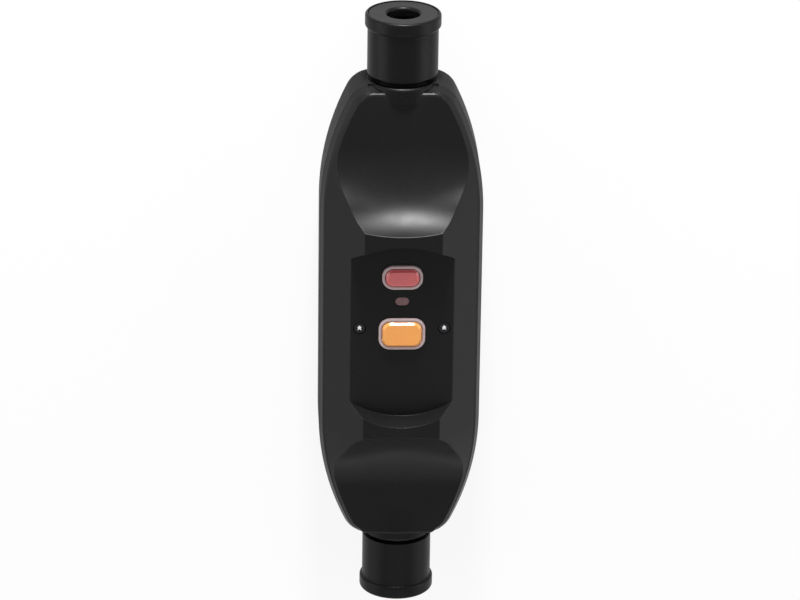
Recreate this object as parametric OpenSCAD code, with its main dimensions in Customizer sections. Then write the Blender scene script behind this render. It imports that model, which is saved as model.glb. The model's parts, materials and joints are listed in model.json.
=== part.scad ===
// In-line residual current device: a two-shell case with a cable gland at each end.
// X is the width, Y the length with the line end at +Y, Z points out of the control panel.
// The unit lies on its back, with the origin under its middle.

/* [Case] */
// Length of the case without the glands
case_len = 162; // [150:1:180]
// Width of the case
case_w = 54; // [52:0.5:60]
// Length of each tapering end of the case
end_taper = 44; // [40:1:48]
// Plan radius of the long side curves
side_r = 88; // [80:1:100]
// Plan radius of the four end corners
corner_r = 9; // [8:0.5:9.5]
// Height of the rear shell, up to the parting plane
rear_h = 20; // [19.5:0.25:22]
// Rounding of the rear edge
rear_edge_r = 5; // [3:0.5:6]
// Wall thickness of both shells
wall = 2.4; // [2:0.1:2.6]

/* [Front cover] */
// Height of the plain band above the parting plane
band_h = 2.9; // [2:0.1:3.5]
// Inward lean of the band over its height
band_lean = 1.25; // [0.6:0.05:1.6]
// Height and width of the bevel above the band
rim_bevel = 0.6; // [0.3:0.1:1]
// Width of the crest between the long side facets
crest_w = 25.5; // [24.5:0.1:26.5]
// Height of the crest above the parting plane
crest_h = 21.3; // [20:0.1:23]
// Rise of the crown from the facet edges to the crest
crown_rise = 1; // [0.5:0.1:1.4]
// Distance between the rims of the two thumb dishes
crest_len = 72; // [69:0.5:75]
// Height of the dish floors above the parting plane
dish_floor_h = 4.5; // [4:0.1:5]
// Radius of the concave wall of a dish
dish_bend_r = 28; // [26:0.5:30]
// Radius of a dish's bowl across the case, under the crest
bowl_across_r = 35; // [30:1:45]
// Radius of a dish's floor across the case
dish_across_r = 160; // [120:5:200]
// How much further from the crest the flat floor begins than the bowl
floor_shift = 3.6; // [2:0.2:5]
// Rounding from the dish floor to the end wall
dish_end_r = 1.2; // [0.8:0.1:2]
// Half width of the square block at each end of the cover
block_half = 13; // [12.5:0.1:14]
// Distance of that block from the end of the rear shell
block_in = 1.2; // [0.8:0.1:1.4]
// Depth of the control panel below the crest
panel_depth = 6.9; // [6:0.1:7.4]
// Radius of the curved ends of the panel at its floor
panel_end_r = 30.9; // [30:0.1:32]
// Lean of the curved panel ends over the panel depth
panel_lean = 1.4; // [0.8:0.1:2]

/* [Glands] */
// Height of the cable axis above the back
axis_h = 13.5; // [13.25:0.05:14]
// Outer diameter of the gland nut
nut_d = 23.3; // [22.5:0.1:24]
// Diameter of the flange at the end of the nut
nut_flange_d = 25; // [24.2:0.1:26]
// Length of that flange
nut_flange_len = 4.6; // [4:0.1:6]
// Length of the gland nut
nut_len = 20.5; // [19:0.1:24]
// Gap between the nut and the case collar
nut_gap = 1.9; // [0.8:0.1:2]
// How far the collar stands out of the end wall
collar_len = 0.6; // [0.5:0.1:2]
// Wall of the collar round the spigot neck
collar_wall = 1.6; // [1.2:0.1:2]
// Diameter of the seal's cable hole
seal_bore_d = 10.5; // [8:0.1:10.8]
// Length of the seal
seal_len = 8; // [6:0.5:9]
// Thread diameter of the spigot
thread_d = 18.6; // [18:0.1:18.8]

/* [Buttons] */
// Width of the test button's key
test_w = 11; // [9:0.1:12]
// Length of the test button's key
test_l = 6; // [5:0.1:7]
// Place of the test button along the case
test_y = 19.2; // [18.5:0.1:20]
// Width of the reset button's key
reset_w = 13; // [11:0.1:14]
// Length of the reset button's key
reset_l = 8.6; // [7.5:0.1:9]
// Place of the reset button along the case
reset_y = -1; // [-1.5:0.1:-0.5]
// Width of the silicone collar round each key
collar_ring = 1.2; // [0.9:0.05:1.4]
// Height of the collars above the panel
collar_up = 0.9; // [0.4:0.1:1.5]
// Height of the keys above the panel
key_up = 1.7; // [1.2:0.1:2.5]
// Corner radius of the keys
key_corner = 2.6; // [1.5:0.1:2.9]
// Place of the indicator window along the case
lens_y = 10.4; // [10:0.1:10.8]
// Width of the indicator window
lens_w = 5; // [4:0.1:6]
// Length of the indicator window
lens_l = 3.2; // [2.5:0.1:3.6]
// Place of the panel screws along the case
panel_screw_y = 0.8; // [0:0.1:1.5]

/* [Works] */
// Height of the mechanism base on its feet
base_foot = 3.4; // [3:0.1:3.8]
// Thickness of the mechanism base
base_t = 2.2; // [2:0.1:2.6]
// Room for a cord clamp between the mechanism base and each end of the case
end_room = 29; // [28:0.5:30]
// Gap between the mechanism base and the side walls
base_gap = 2; // [1.7:0.1:2.1]
// Thickness of the contact strips and the earth link
strip_t = 0.8; // [0.6:0.1:1]
// Height of the closed contact faces above the base
contact_h = 9.2; // [9:0.1:9.4]
// Height of the solenoid axis above the base
solenoid_h = 6.6; // [6.4:0.1:6.7]
// Height of the circuit board above the base
board_h = 14.2; // [14:0.1:14.6]
// Outer radius of the sensing ring
ring_r = 9.6; // [9:0.1:10]

/* [Hidden] */

$fn = 48;
// Clearance between fixed pieces that are put together by hand
fit = 0.1;
// Clearance round pieces that slide
slide = 0.15;
// Thickness of the thin plates that a loft is drawn between
leaf = 0.01;
// Overshoot of a cut past the face that it opens
past = 0.5;
// Steps along a side curve and round a corner
side_steps = 10;
corner_steps = 6;

end_y = case_len / 2;
side_flat = end_y - end_taper;
side_cx = case_w / 2 - side_r;
corner_cy = end_y - corner_r;
corner_turn = asin((corner_cy - side_flat) / (side_r - corner_r));
corner_cx = side_cx + (side_r - corner_r) * cos(corner_turn);

band_z = rear_h + band_h;
rim_z = band_z + rim_bevel;
crest_z = rear_h + crest_h;
panel_z = crest_z - panel_depth;
dish_floor = rear_h + dish_floor_h;
rim_in = band_lean + rim_bevel;
crown_in = (case_w - crest_w) / 2;
facet_run = (crown_in - rim_in) / (crest_z - crown_rise - rim_z);
facet_wall = wall * norm([1, facet_run]);
panel_under = panel_z - wall;

dish_drop = crest_z - dish_floor;
dish_turn = acos(max(0, 1 - dish_drop / dish_bend_r));
dish_cy = crest_len / 2 + dish_bend_r * sin(dish_turn);

gasket_in = 0.8;
gasket_w = 0.8;
gasket_h = 0.8;
rib_t = 2;
clamp_bite = 8;
clamp_screw_r = 1.4;
thread_bite = 4;
base_screw_r = 1.3;
base_head_r = 2.6;
base_head_h = 1.5;

neck_r = nut_d / 2 - collar_wall;
collar_r = neck_r + collar_wall;
collar_end = end_y + collar_len;
nut_y = collar_end + nut_gap;
nut_end = nut_y + nut_len;
spigot_end = nut_end - 7;
seal_r = 7.5;
seal_y = spigot_end - seal_len - 1;
bore_r = seal_bore_d / 2 + 0.8;
thread_r = thread_d / 2;
bell_len = 3;
bell_y = nut_end - bell_len - 0.3;
nut_shoulder = bell_y - 3;
flange_half = neck_r + 0.8;
flange_t = 2.4;
flange_y = end_y - wall - fit - flange_t;
cable_r = seal_bore_d / 2;
clamp_w = 6;
clamp_t = 3;
clamp_y = flange_y - 11;
clamp_x = 2 * cable_r;
clamp_post_r = 3.2;
clamp_seat = axis_h + 0.6;
clamp_grip = 2.4;

base_half_l = end_y - end_room;
case_screw_y = base_half_l + 7;
case_screw_r = 1.4;
case_head_r = 2.8;
case_head_h = 2;
sink_depth = 5;
boss_z = 12;
boss_r = 3.2;
post_r = 4.4;
boss_line_r = side_r - wall - boss_r - 0.4;
case_screw_x = side_cx + sqrt(pow(boss_line_r, 2) - pow(case_screw_y - side_flat, 2));

base_z = wall + base_foot;
base_top = base_z + base_t;
base_half_w = case_w / 2 - wall - base_gap;
terminal_w = 6;
terminal_l = 9;
terminal_h = 8;
terminal_y = base_half_l - terminal_l / 2 - 1.5;
earth_x = base_half_w - terminal_w / 2 - 0.2;
base_screw_y = base_half_l - 15;
base_foot_r = 3.4;

panel_sink = 1.5;
panel_head_r = 1.8;
panel_head_h = 1.2;
panel_boss_r = case_w / 18;
panel_boss_z = panel_under - 4;

membrane_t = 1.2;
membrane_z = panel_under - membrane_t;
flange_key_t = 1.2;
key_flange_z = membrane_z - fit - flange_key_t;
test_travel = 1.2;
reset_travel = 2.5;
carrier_travel = 2.5;

// Points of an arc
function arc(cx, cy, r, from, to, steps) =
    [for (i = [0:steps]) let (a = from + (to - from) * i / steps) [cx + r * cos(a), cy + r * sin(a)]];

// One quarter of the plan outline, drawn in by d from the widest line
function quarter(d) = d < corner_r - 0.2
    ? concat(arc(side_cx, side_flat, side_r - d, 0, corner_turn, side_steps),
        arc(corner_cx, corner_cy, corner_r - d, corner_turn, 90, corner_steps))
    : let (r = side_r - d, turn = min(asin((end_y - d - side_flat) / r), acos(-side_cx / r) - 0.2))
        arc(side_cx, side_flat, r, 0, turn, side_steps);

function flipped(points) = [for (i = [len(points) - 1:-1:0]) points[i]];

// Whole plan outline, drawn in by d
function outline(d) = let (q = quarter(d))
    concat(q, flipped([for (p = q) [-p.x, p.y]]), [for (p = q) [-p.x, -p.y]],
        flipped([for (p = q) [p.x, -p.y]]));

// Rounded rectangle
function rounded(w, l, r) = let (x = w / 2 - r, y = l / 2 - r)
    concat(arc(x, y, r, 0, 90, 6), arc(-x, y, r, 90, 180, 6), arc(-x, -y, r, 180, 270, 6),
        arc(x, -y, r, 270, 360, 6));

module leaf_at(z, d) {
    translate([0, 0, z]) linear_extrude(leaf) polygon(outline(d));
}

// Convex form through a list of levels, each a height and a draw-in
module loft(levels) {
    hull() for (level = levels) leaf_at(level[0], level[1]);
}

module prism(z, h, d) {
    translate([0, 0, z]) linear_extrude(h) polygon(outline(d));
}

module rounded_prism(w, l, r, z, h) {
    translate([0, 0, z]) linear_extrude(h) polygon(rounded(w, l, r));
}

// Cylinder along +Y on the cable axis
module along_y(r, y, len) {
    translate([0, y, axis_h]) rotate([-90, 0, 0]) cylinder(r = r, h = len);
}

module both_ends() {
    children();
    mirror([0, 1, 0]) children();
}

module at_corners(x, y) {
    for (sx = [-1, 1]) for (sy = [-1, 1]) translate([sx * x, sy * y, 0]) children();
}

// Round-headed screw pointing down, its head standing on the plane z = 0
module screw(head_r, head_h, shank_r, len) {
    difference() {
        union() {
            cylinder(r = head_r, h = head_h);
            translate([0, 0, -len]) cylinder(r = shank_r, h = len);
        }
        for (turn = [0, 90])
            rotate([0, 0, turn]) translate([-head_r * 0.6, -head_r * 0.13, head_h / 2])
                cube([head_r * 1.2, head_r * 0.26, head_h]);
    }
}

// Coil spring standing on z = 0: one tube of triangles with closed, straight-cut ends
module coil_spring(r, wire, turns, len) {
    sides = 6;
    rings = ceil(turns * 12);
    pts = [for (i = [0:rings]) let (a = 360 * turns * i / rings, z = wire / 2 + (len - wire) * i / rings)
        for (k = [0:sides - 1]) let (b = 360 * k / sides, q = r + wire / 2 * cos(b))
            [q * cos(a), q * sin(a), z + wire / 2 * sin(b)]];
    skin = [for (i = [0:rings - 1]) for (k = [0:sides - 1])
        let (a = i * sides + k, b = i * sides + (k + 1) % sides)
            each [[a, a + sides, b], [b, a + sides, b + sides]]];
    first = [for (k = [1:sides - 2]) [0, k, k + 1]];
    last = [for (k = [1:sides - 2]) [rings * sides, rings * sides + k + 1, rings * sides + k]];
    polyhedron(points = pts, faces = concat(skin, first, last));
}

// Space above a dish at the line end, grown by t: a bowl below the crest and a flatter floor
module dish(t) {
    dish_sweep(bowl_across_r, dish_cy, t);
    dish_sweep(dish_across_r, dish_cy + floor_shift, t);
    if (t == 0) dish_end();
}

// Concave wall and floor about a line along the case, at the radius across
module dish_sweep(across, cy, t) {
    about_dish(across) intersection() {
        union() {
            translate([across - dish_bend_r, cy]) circle(r = dish_bend_r + t);
            translate([0, cy]) square([across + t, case_len]);
            translate([0, cy - dish_bend_r * sin(dish_turn) - t]) square([across - dish_drop, case_len]);
        }
        square([across + 2 * wall, 2 * case_len]);
    }
}

// Cut that rounds the end of the floor down to the end wall
module dish_end() {
    floor_end = end_y - block_in - dish_end_r;
    low = dish_across_r + dish_end_r;
    about_dish(dish_across_r) difference() {
        translate([0, floor_end]) square([low, case_len]);
        translate([low, floor_end]) circle(r = dish_end_r);
    }
}

module about_dish(across) {
    translate([0, 0, dish_floor + across]) rotate([-90, 0, 0]) rotate_extrude($fn = 96) children();
}

// Sunk panel with its two curved ends, grown by t
module panel_recess(t) {
    lean = panel_lean / panel_depth;
    high = panel_depth + crown_rise;
    translate([0, 0, panel_z - t])
        cylinder(r1 = panel_end_r + t, r2 = panel_end_r + t + high * lean, h = high + t, $fn = 96);
}

// Opening of the end wall round a spigot neck, open upwards to z = top
module neck_slot(r, top) {
    both_ends() {
        along_y(r, flange_y + flange_t, case_len);
        translate([-r, flange_y + flange_t, axis_h]) cube([2 * r, case_len, top - axis_h]);
    }
}

module rear_shell() color([0.09, 0.09, 0.095]) {
    steps = [0, 22.5, 45, 67.5, 90];
    difference() {
        union() {
            loft(concat([for (a = steps) [rear_edge_r * (1 - cos(a)), rear_edge_r * (1 - sin(a))]],
                [[rear_h - leaf, 0]]));
            both_ends() intersection() {
                along_y(collar_r, end_y - wall, wall + collar_len);
                translate([-case_w, 0, 0]) cube([2 * case_w, case_len, rear_h]);
            }
        }
        difference() {
            prism(wall, rear_h, wall);
            at_corners(case_screw_x, case_screw_y) cylinder(r = post_r, h = boss_z);
            at_corners(clamp_x, clamp_y) cylinder(r = clamp_post_r, h = clamp_seat - 2 * fit);
            at_corners(base_screw_x, base_screw_y) cylinder(r = base_foot_r, h = base_z);
            both_ends() translate([-cable_r - rib_t, clamp_y - rib_t / 2, 0])
                cube([2 * (cable_r + rib_t), rib_t, axis_h - cable_r + rib_t]);
            both_ends() translate([-flange_half, flange_y - fit - rib_t, 0])
                cube([2 * flange_half, rib_t, axis_h]);
        }
        neck_slot(neck_r + fit, rear_h + past);
        both_ends() along_y(cable_r + 4 * fit, clamp_y - rib_t, flange_y - clamp_y + rib_t + past);
        at_corners(case_screw_x, case_screw_y) {
            translate([0, 0, -past]) cylinder(r = case_head_r + 3 * fit, h = past + sink_depth);
            cylinder(r = case_screw_r + 4 * fit, h = boss_z + past);
        }
        at_corners(clamp_x, clamp_y) translate([0, 0, clamp_seat - clamp_bite])
            cylinder(r = clamp_screw_r, h = clamp_bite + past);
        at_corners(base_screw_x, base_screw_y) translate([0, 0, wall - 1])
            cylinder(r = base_screw_r + fit, h = base_z);
        difference() {
            prism(rear_h - gasket_h, gasket_h + past, gasket_in - fit);
            prism(rear_h - gasket_h - past, gasket_h + 3 * past, gasket_in + gasket_w + fit);
        }
    }
}

// Outside of the cover before its cuts, with a square block behind each collar
module cover_form() {
    both_ends() intersection() {
        prism(rear_h, dish_floor_h + wall, block_in);
        translate([-block_half, side_flat, rear_h]) cube([2 * block_half, end_taper, crest_h]);
    }
    loft([[rear_h, 0.1], [band_z, band_lean], [rim_z, rim_in],
        [crest_z - crown_rise, crown_in], [crest_z - crown_rise * 0.35, crown_in + 4],
        [crest_z - leaf, crown_in + 8]]);
}

module cover_hollow() {
    difference() {
        loft([[rear_h - leaf, rim_in + facet_wall - (rim_z - rear_h) * facet_run],
            [crest_z - wall - crown_rise, crown_in + facet_wall - wall * facet_run],
            [crest_z - wall, crown_in + 8]]);
        both_ends() dish(wall);
        panel_recess(wall);
        at_corners(case_screw_x, case_screw_y) cylinder(r = boss_r, h = crest_z);
    }
}

module front_cover() color([0.1, 0.1, 0.105]) difference() {
    union() {
        difference() {
            cover_form();
            cover_hollow();
            both_ends() dish(0);
            panel_recess(0);
        }
        both_ends() intersection() {
            along_y(collar_r, flange_y, collar_end - flange_y);
            translate([-case_w, 0, rear_h]) cube([2 * case_w, case_len, crest_h]);
        }
        both_ends() translate([-neck_r, end_y - wall, axis_h])
            cube([2 * neck_r, wall + collar_len, rear_h - axis_h + 1.5]);
        at_corners(case_screw_x, case_screw_y)
            translate([0, 0, boss_z + fit]) cylinder(r = boss_r, h = dish_floor - boss_z - 1);
        for (sx = [-1, 1]) translate([sx * panel_screw_x, panel_screw_y, panel_boss_z])
            cylinder(r = panel_boss_r, h = panel_z - panel_boss_z - panel_sink);
    }
    both_ends() along_y(neck_r + fit, flange_y - fit, case_len);
    both_ends() translate([-flange_half - fit, flange_y - fit, 0])
        cube([2 * (flange_half + fit), flange_t + 2 * fit, axis_h + neck_r - 2]);
    at_corners(case_screw_x, case_screw_y) cylinder(r = case_screw_r, h = dish_floor - 3);
    collar_opening(test_w, test_l, test_y);
    collar_opening(reset_w, reset_l, reset_y);
    translate([0, lens_y, 0])
        rounded_prism(lens_w, lens_l, lens_l / 2 - fit / 2, panel_under - past, wall + 2 * past);
    for (sx = [-1, 1]) translate([sx * panel_screw_x, panel_screw_y, 0]) {
        translate([0, 0, panel_z - panel_sink]) cylinder(r = panel_head_r + 3 * fit, h = panel_depth);
        translate([0, 0, panel_boss_z - past]) cylinder(r = base_screw_r + fit, h = panel_depth);
    }
}

// Hole in the panel round a key's silicone collar
module collar_opening(w, l, y) {
    out = 2 * (collar_ring + fit);
    translate([0, y, 0])
        rounded_prism(w + out, l + out, key_corner + out / 2, panel_under - past, wall + 2 * past);
}

module case_gasket() color([0.25, 0.25, 0.26]) difference() {
    prism(rear_h - gasket_h, gasket_h, gasket_in);
    prism(rear_h - gasket_h - past, gasket_h + 2 * past, gasket_in + gasket_w);
    neck_slot(collar_r, rear_h + past);
}

module case_screws() color("silver") at_corners(case_screw_x, case_screw_y)
    translate([0, 0, sink_depth]) mirror([0, 0, 1])
        screw(case_head_r, case_head_h, case_screw_r, dish_floor - sink_depth - thread_bite);

// Silicone sheet under the panel with a collar round each key
module button_membrane() color([0.62, 0.58, 0.64]) {
    difference() {
        union() {
            translate([0, (test_y + reset_y) / 2, 0])
                rounded_prism(2 * carrier_half_x, test_y - reset_y + reset_l + 8, 3, membrane_z, membrane_t);
            membrane_collar(test_w, test_l, test_y);
            membrane_collar(reset_w, reset_l, reset_y);
        }
        key_hole(test_w, test_l, test_y);
        key_hole(reset_w, reset_l, reset_y);
        translate([0, lens_y, 0]) rounded_prism(lens_w + 2, lens_l + 1.4, 1.5, membrane_z - past, 3);
    }
}

module membrane_collar(w, l, y) {
    translate([0, y, 0])
        rounded_prism(w + 2 * collar_ring, l + 2 * collar_ring, key_corner + collar_ring, membrane_z,
            panel_z + collar_up - membrane_z);
}

module key_hole(w, l, y) {
    translate([0, y, 0])
        rounded_prism(w + 2 * slide, l + 2 * slide, key_corner + slide, membrane_z - past, 3 * wall + collar_up);
}

module indicator_lens() color([0.85, 0.8, 0.8, 0.5]) translate([0, lens_y, 0]) {
    rounded_prism(lens_w - 2 * fit, lens_l - 2 * fit, lens_l / 2 - 0.15, panel_under, wall - 0.2);
    rounded_prism(lens_w + 1.6, lens_l + 1, 1.4, membrane_z, membrane_t);
}

module panel_screws() color([0.3, 0.3, 0.31]) for (sx = [-1, 1])
    translate([sx * panel_screw_x, panel_screw_y, panel_z - panel_sink])
        screw(panel_head_r, panel_head_h, base_screw_r, panel_z - panel_sink - panel_boss_z + thread_bite);

// Key with a bevelled top, a flange under the membrane and a stem down to z = stem_z
module key(w, l, stem_r, stem_z) {
    top = panel_z + key_up;
    hull() {
        rounded_prism(w, l, key_corner, key_flange_z + flange_key_t, top - 0.9 - key_flange_z - flange_key_t);
        rounded_prism(w - 1.6, l - 1.6, key_corner - 0.8, top - leaf, leaf);
    }
    rounded_prism(w + 1.4, l + 1.4, key_corner + 0.7, key_flange_z, flange_key_t);
    translate([0, 0, stem_z]) cylinder(r = stem_r, h = key_flange_z - stem_z);
}

module test_button() color([0.72, 0.3, 0.32]) translate([0, test_y, 0])
    key(test_w, test_l, 1.3, switch_top + test_travel + 0.3);

module reset_button() color([0.93, 0.6, 0.3]) translate([0, reset_y, 0])
    key(reset_w, reset_l, 2, yoke_z + 0.4);

module test_spring() color("silver") translate([0, test_y, board_top])
    coil_spring(test_l / 2 + 0.3, 0.45, 5, key_flange_z - board_top);

module reset_spring() color("silver") translate([0, reset_y, yoke_z + yoke_t])
    coil_spring(reset_l / 2 - 0.6, 0.5, 3, key_flange_z - yoke_z - yoke_t);

// Threaded tube that the shells hold by its square flange
module gland_spigot() color([0.14, 0.14, 0.145]) difference() {
    union() {
        translate([-flange_half, flange_y, wall + fit])
            cube([2 * flange_half, flange_t, axis_h + neck_r - 2.3 - wall]);
        along_y(neck_r, flange_y, collar_end + 0.5 - flange_y);
        along_y(thread_r, flange_y, spigot_end - flange_y);
    }
    along_y(bore_r, flange_y - past, case_len);
    along_y(seal_r + fit, seal_y, case_len);
}

module gland_seal() color([0.2, 0.2, 0.2]) difference() {
    along_y(seal_r, seal_y, seal_len);
    along_y(seal_bore_d / 2, seal_y - past, seal_len + 2 * past);
}

module slip_washer() color([0.75, 0.75, 0.72]) difference() {
    along_y(seal_r, seal_y + seal_len, 1);
    along_y(bore_r - 0.3, seal_y, case_len);
}

// Sleeve nut with a rounded flange and an open pocket at its end
module gland_nut() color([0.08, 0.08, 0.085]) difference() {
    translate([0, 0, axis_h]) rotate([-90, 0, 0]) rotate_extrude($fn = 96) {
        translate([0, nut_y]) square([nut_d / 2, nut_len - 1]);
        translate([0, nut_end - nut_flange_len + 0.8]) square([nut_flange_d / 2, nut_flange_len - 1.6]);
        translate([0, nut_end - nut_flange_len]) square([nut_flange_d / 2 - 0.8, nut_flange_len]);
        for (y = [nut_end - nut_flange_len + 0.8, nut_end - 0.8])
            translate([nut_flange_d / 2 - 0.8, y]) circle(r = 0.8);
    }
    along_y(thread_r + fit, nut_y - past, nut_shoulder - nut_y + past);
    along_y(bore_r, nut_y, case_len);
    along_y(bell_r + fit, bell_y, case_len);
}

bell_r = nut_flange_d / 2 - 1.1;

// Disc in the nut's end with a flared mouth for the cable
module bell_mouth() color([0.35, 0.35, 0.35]) difference() {
    along_y(bell_r, bell_y + 0.05, bell_len);
    along_y(cable_r + 0.1, bell_y - past, case_len);
    translate([0, bell_y + 1.2, axis_h]) rotate([-90, 0, 0])
        cylinder(r1 = cable_r + 0.1, r2 = cable_r + 1.4, h = bell_len - 1.1);
}

module line_gland_spigot() gland_spigot();
module line_gland_seal() gland_seal();
module line_slip_washer() slip_washer();
module line_gland_nut() gland_nut();
module line_bell_mouth() bell_mouth();
module load_gland_spigot() mirror([0, 1, 0]) gland_spigot();
module load_gland_seal() mirror([0, 1, 0]) gland_seal();
module load_slip_washer() mirror([0, 1, 0]) slip_washer();
module load_gland_nut() mirror([0, 1, 0]) gland_nut();
module load_bell_mouth() mirror([0, 1, 0]) bell_mouth();

// Arched bar that presses the cable's sheath on to the rib below it
module cord_clamp() color([0.3, 0.3, 0.3]) difference() {
    union() {
        translate([-clamp_x - clamp_post_r, clamp_y - clamp_w / 2, clamp_seat - fit])
            cube([2 * (clamp_x + clamp_post_r), clamp_w, clamp_t]);
        along_y(cable_r + clamp_grip, clamp_y - clamp_w / 2, clamp_w);
    }
    along_y(cable_r + 3 * fit, clamp_y - clamp_w, 2 * clamp_w);
    translate([-case_w, clamp_y - clamp_w, 0]) cube([2 * case_w, 2 * clamp_w, clamp_seat - fit]);
    for (sx = [-1, 1]) translate([sx * clamp_x, clamp_y, 0])
        cylinder(r = clamp_screw_r + 2 * fit, h = crest_z);
}

module line_cord_clamp() cord_clamp();
module load_cord_clamp() mirror([0, 1, 0]) cord_clamp();

module clamp_screws() color("silver") at_corners(clamp_x, clamp_y)
    translate([0, 0, clamp_seat - fit + clamp_t])
        screw(base_head_r, base_head_h, clamp_screw_r, clamp_t + clamp_bite - 1);

// Places in the works, along Y from the reset button and in Z from the base
contact_z = base_top + contact_h;
strip_w = 4;
pad_h = 0.8;
pad_r = 1.5;
pad_y = 6;
bridge_t = 1;
bridge_w = 3.4;
bridge_half = 7.5;
bridge_z = contact_z - pad_h - bridge_t;
leg_y = bridge_half + 1.1;
carrier_z = base_top + 3.5;
carrier_top = contact_z + 2.8;
carrier_half_y = 3.8;
coil_r = case_w / 10;
pole_x = coil_r + strip_w / 2 + 0.6;
carrier_half_x = pole_x + bridge_w / 2 + 1;
panel_screw_x = carrier_half_x + panel_boss_r + 2 * slide;
base_screw_x = (pole_x + earth_x) / 2;
pocket_z = bridge_z - 3;
yoke_z = carrier_top + 2.5;
yoke_t = 2.5;
board_z = base_top + board_h;
board_t = 1.6;
board_top = board_z + board_t;
board_y = 12;
board_l = base_screw_y - 5 - board_y;
board_post_x = base_screw_x;
board_w = 2 * (board_post_x + 2);
switch_top = board_top + 3.4;
pivot_y = carrier_half_y + 4.2;
pivot_h = 2.4;
pin_r = 0.8;
lever_t = 1.2;
lever_half = 2.6;
latch_turn = 22;
plunger_travel = (solenoid_h - pivot_h) * tan(latch_turn);
solenoid_y = pivot_y + 6.2;
solenoid_len = 15.6;
plunger_r = 2;
ring_y = -27;
ring_len = 8;
ring_z = base_top + ring_r + 0.4;
ring_hole = 5.2;
terminal_z = base_top + strip_t;
wire_h = 3.5;

// Solid across X from a list of [y, z] points
module across(half, points) {
    rotate([90, 0, 90]) translate([0, 0, -half]) linear_extrude(2 * half) polygon(points);
}

// Cylinder along +Y at height z
module bar_y(r, y, len, z) {
    translate([0, y, z]) rotate([-90, 0, 0]) cylinder(r = r, h = len);
}

// Cylinder across X, centred
module bar_x(r, half, y, z) {
    translate([-half, y, z]) rotate([0, 90, 0]) cylinder(r = r, h = 2 * half);
}

// Moulding that carries the works: floor, columns, yoke, board posts, ears and cradle
module mechanism_base() color([0.82, 0.8, 0.74]) difference() {
    union() {
        rounded_base();
        for (sx = [-1, 1]) translate([sx * panel_screw_x, panel_screw_y, base_top - past])
            cylinder(r = panel_boss_r, h = panel_boss_z - fit - base_top + past);
        translate([-panel_screw_x, reset_y - carrier_half_y, yoke_z])
            cube([2 * panel_screw_x, 2 * carrier_half_y, yoke_t]);
        for (sx = [-1, 1]) for (y = [board_y + 2, board_y + board_l - 2])
            translate([sx * board_post_x, y, base_top - past]) cylinder(r = 1.9, h = board_h + past);
        for (x = [lever_half + 0.4, -lever_half - 2])
            translate([x, reset_y + pivot_y - 1.6, base_top - past]) cube([1.6, 3.2, pivot_h + 1.8 + past]);
        translate([-ring_r * 0.75, ring_y + 1, base_top - past]) cube([ring_r * 1.5, ring_len - 2, ring_r * 0.5]);
        for (sx = [-1, 1]) translate([sx * pole_x - terminal_w / 2, -terminal_y - terminal_l / 2, base_top - past])
            cube([terminal_w, terminal_l, strip_t + past]);
        both_ends() for (x = [0, -(pole_x + earth_x) / 2])
            translate([x - 0.7, terminal_y - terminal_l / 2, base_top - past]) cube([1.4, terminal_l, terminal_h]);
    }
    at_corners(base_screw_x, base_screw_y) translate([0, 0, base_z - past]) cylinder(r = 1.6, h = base_t + 2 * past);
    for (sx = [-1, 1]) translate([sx * panel_screw_x, panel_screw_y, panel_boss_z - 1.5 * thread_bite])
        cylinder(r = base_screw_r + fit, h = panel_depth);
    translate([0, reset_y, yoke_z - past]) cylinder(r = plunger_r + slide, h = yoke_t + 2 * past);
    bar_x(pin_r + 0.02, 10, reset_y + pivot_y, base_top + pivot_h);
    bar_y(ring_r + fit, ring_y, ring_len, ring_z);
}

module rounded_base() {
    rounded_prism(2 * base_half_w, 2 * base_half_l, 4, base_z, base_t);
}

module base_screws() color("silver") at_corners(base_screw_x, base_screw_y)
    translate([0, 0, base_top]) screw(base_head_r, base_head_h, base_screw_r, base_top - wall + 0.6);

// Brass block with a wire hole and a clamping screw hole
module terminal(x) {
    translate([x, terminal_y, terminal_z]) difference() {
        translate([-terminal_w / 2, -terminal_l / 2, 0]) cube([terminal_w, terminal_l, terminal_h]);
        bar_y(1.7, -terminal_l, 2 * terminal_l, wire_h);
        translate([0, 0, wire_h]) cylinder(r = 1.5, h = terminal_h);
    }
}

module terminal_row() {
    terminal(pole_x);
    terminal(-pole_x);
    terminal(-earth_x);
}

module line_terminals() color([0.8, 0.65, 0.3]) terminal_row();
module load_terminals() color([0.8, 0.65, 0.3]) mirror([0, 1, 0]) terminal_row();

module terminal_screws() color([0.75, 0.62, 0.32]) both_ends() for (x = [pole_x, -pole_x, -earth_x])
    translate([x, terminal_y, terminal_z + terminal_h]) screw(2.2, 1.4, 1.4, terminal_h - wire_h - 1.2);

module earth_link() color([0.78, 0.47, 0.3])
    translate([-earth_x - strip_w / 2, -terminal_y - terminal_l / 2, base_top])
        cube([strip_w, 2 * terminal_y + terminal_l, strip_t]);

// Fixed contact: an upright with a top arm and a pad under it, for the pole at x
module fixed_contact(x) {
    top = contact_z + pad_h;
    translate([x - strip_w / 2, leg_y, base_top]) cube([strip_w, strip_t, top + strip_t - base_top]);
    translate([x - strip_w / 2, pad_y - pad_r, top]) cube([strip_w, leg_y - pad_y + pad_r, strip_t]);
    translate([x, pad_y, contact_z]) cylinder(r = pad_r, h = pad_h + strip_t / 2);
}

module line_contacts() color([0.78, 0.47, 0.3]) for (x = [-pole_x, pole_x]) {
    translate([0, reset_y, 0]) fixed_contact(x);
    translate([x - strip_w / 2, reset_y + leg_y, base_top])
        cube([strip_w, terminal_y + terminal_l / 2 - reset_y - leg_y, strip_t]);
}

module load_contacts() color([0.78, 0.47, 0.3]) translate([0, reset_y, 0]) mirror([0, 1, 0])
    for (x = [-pole_x, pole_x]) fixed_contact(x);

// Round rod between two points
module rod(p, q, r) {
    d = q - p;
    translate(p) rotate([0, acos(d.z / norm(d)), atan2(d.y, d.x)]) cylinder(r = r, h = norm(d));
}

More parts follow.
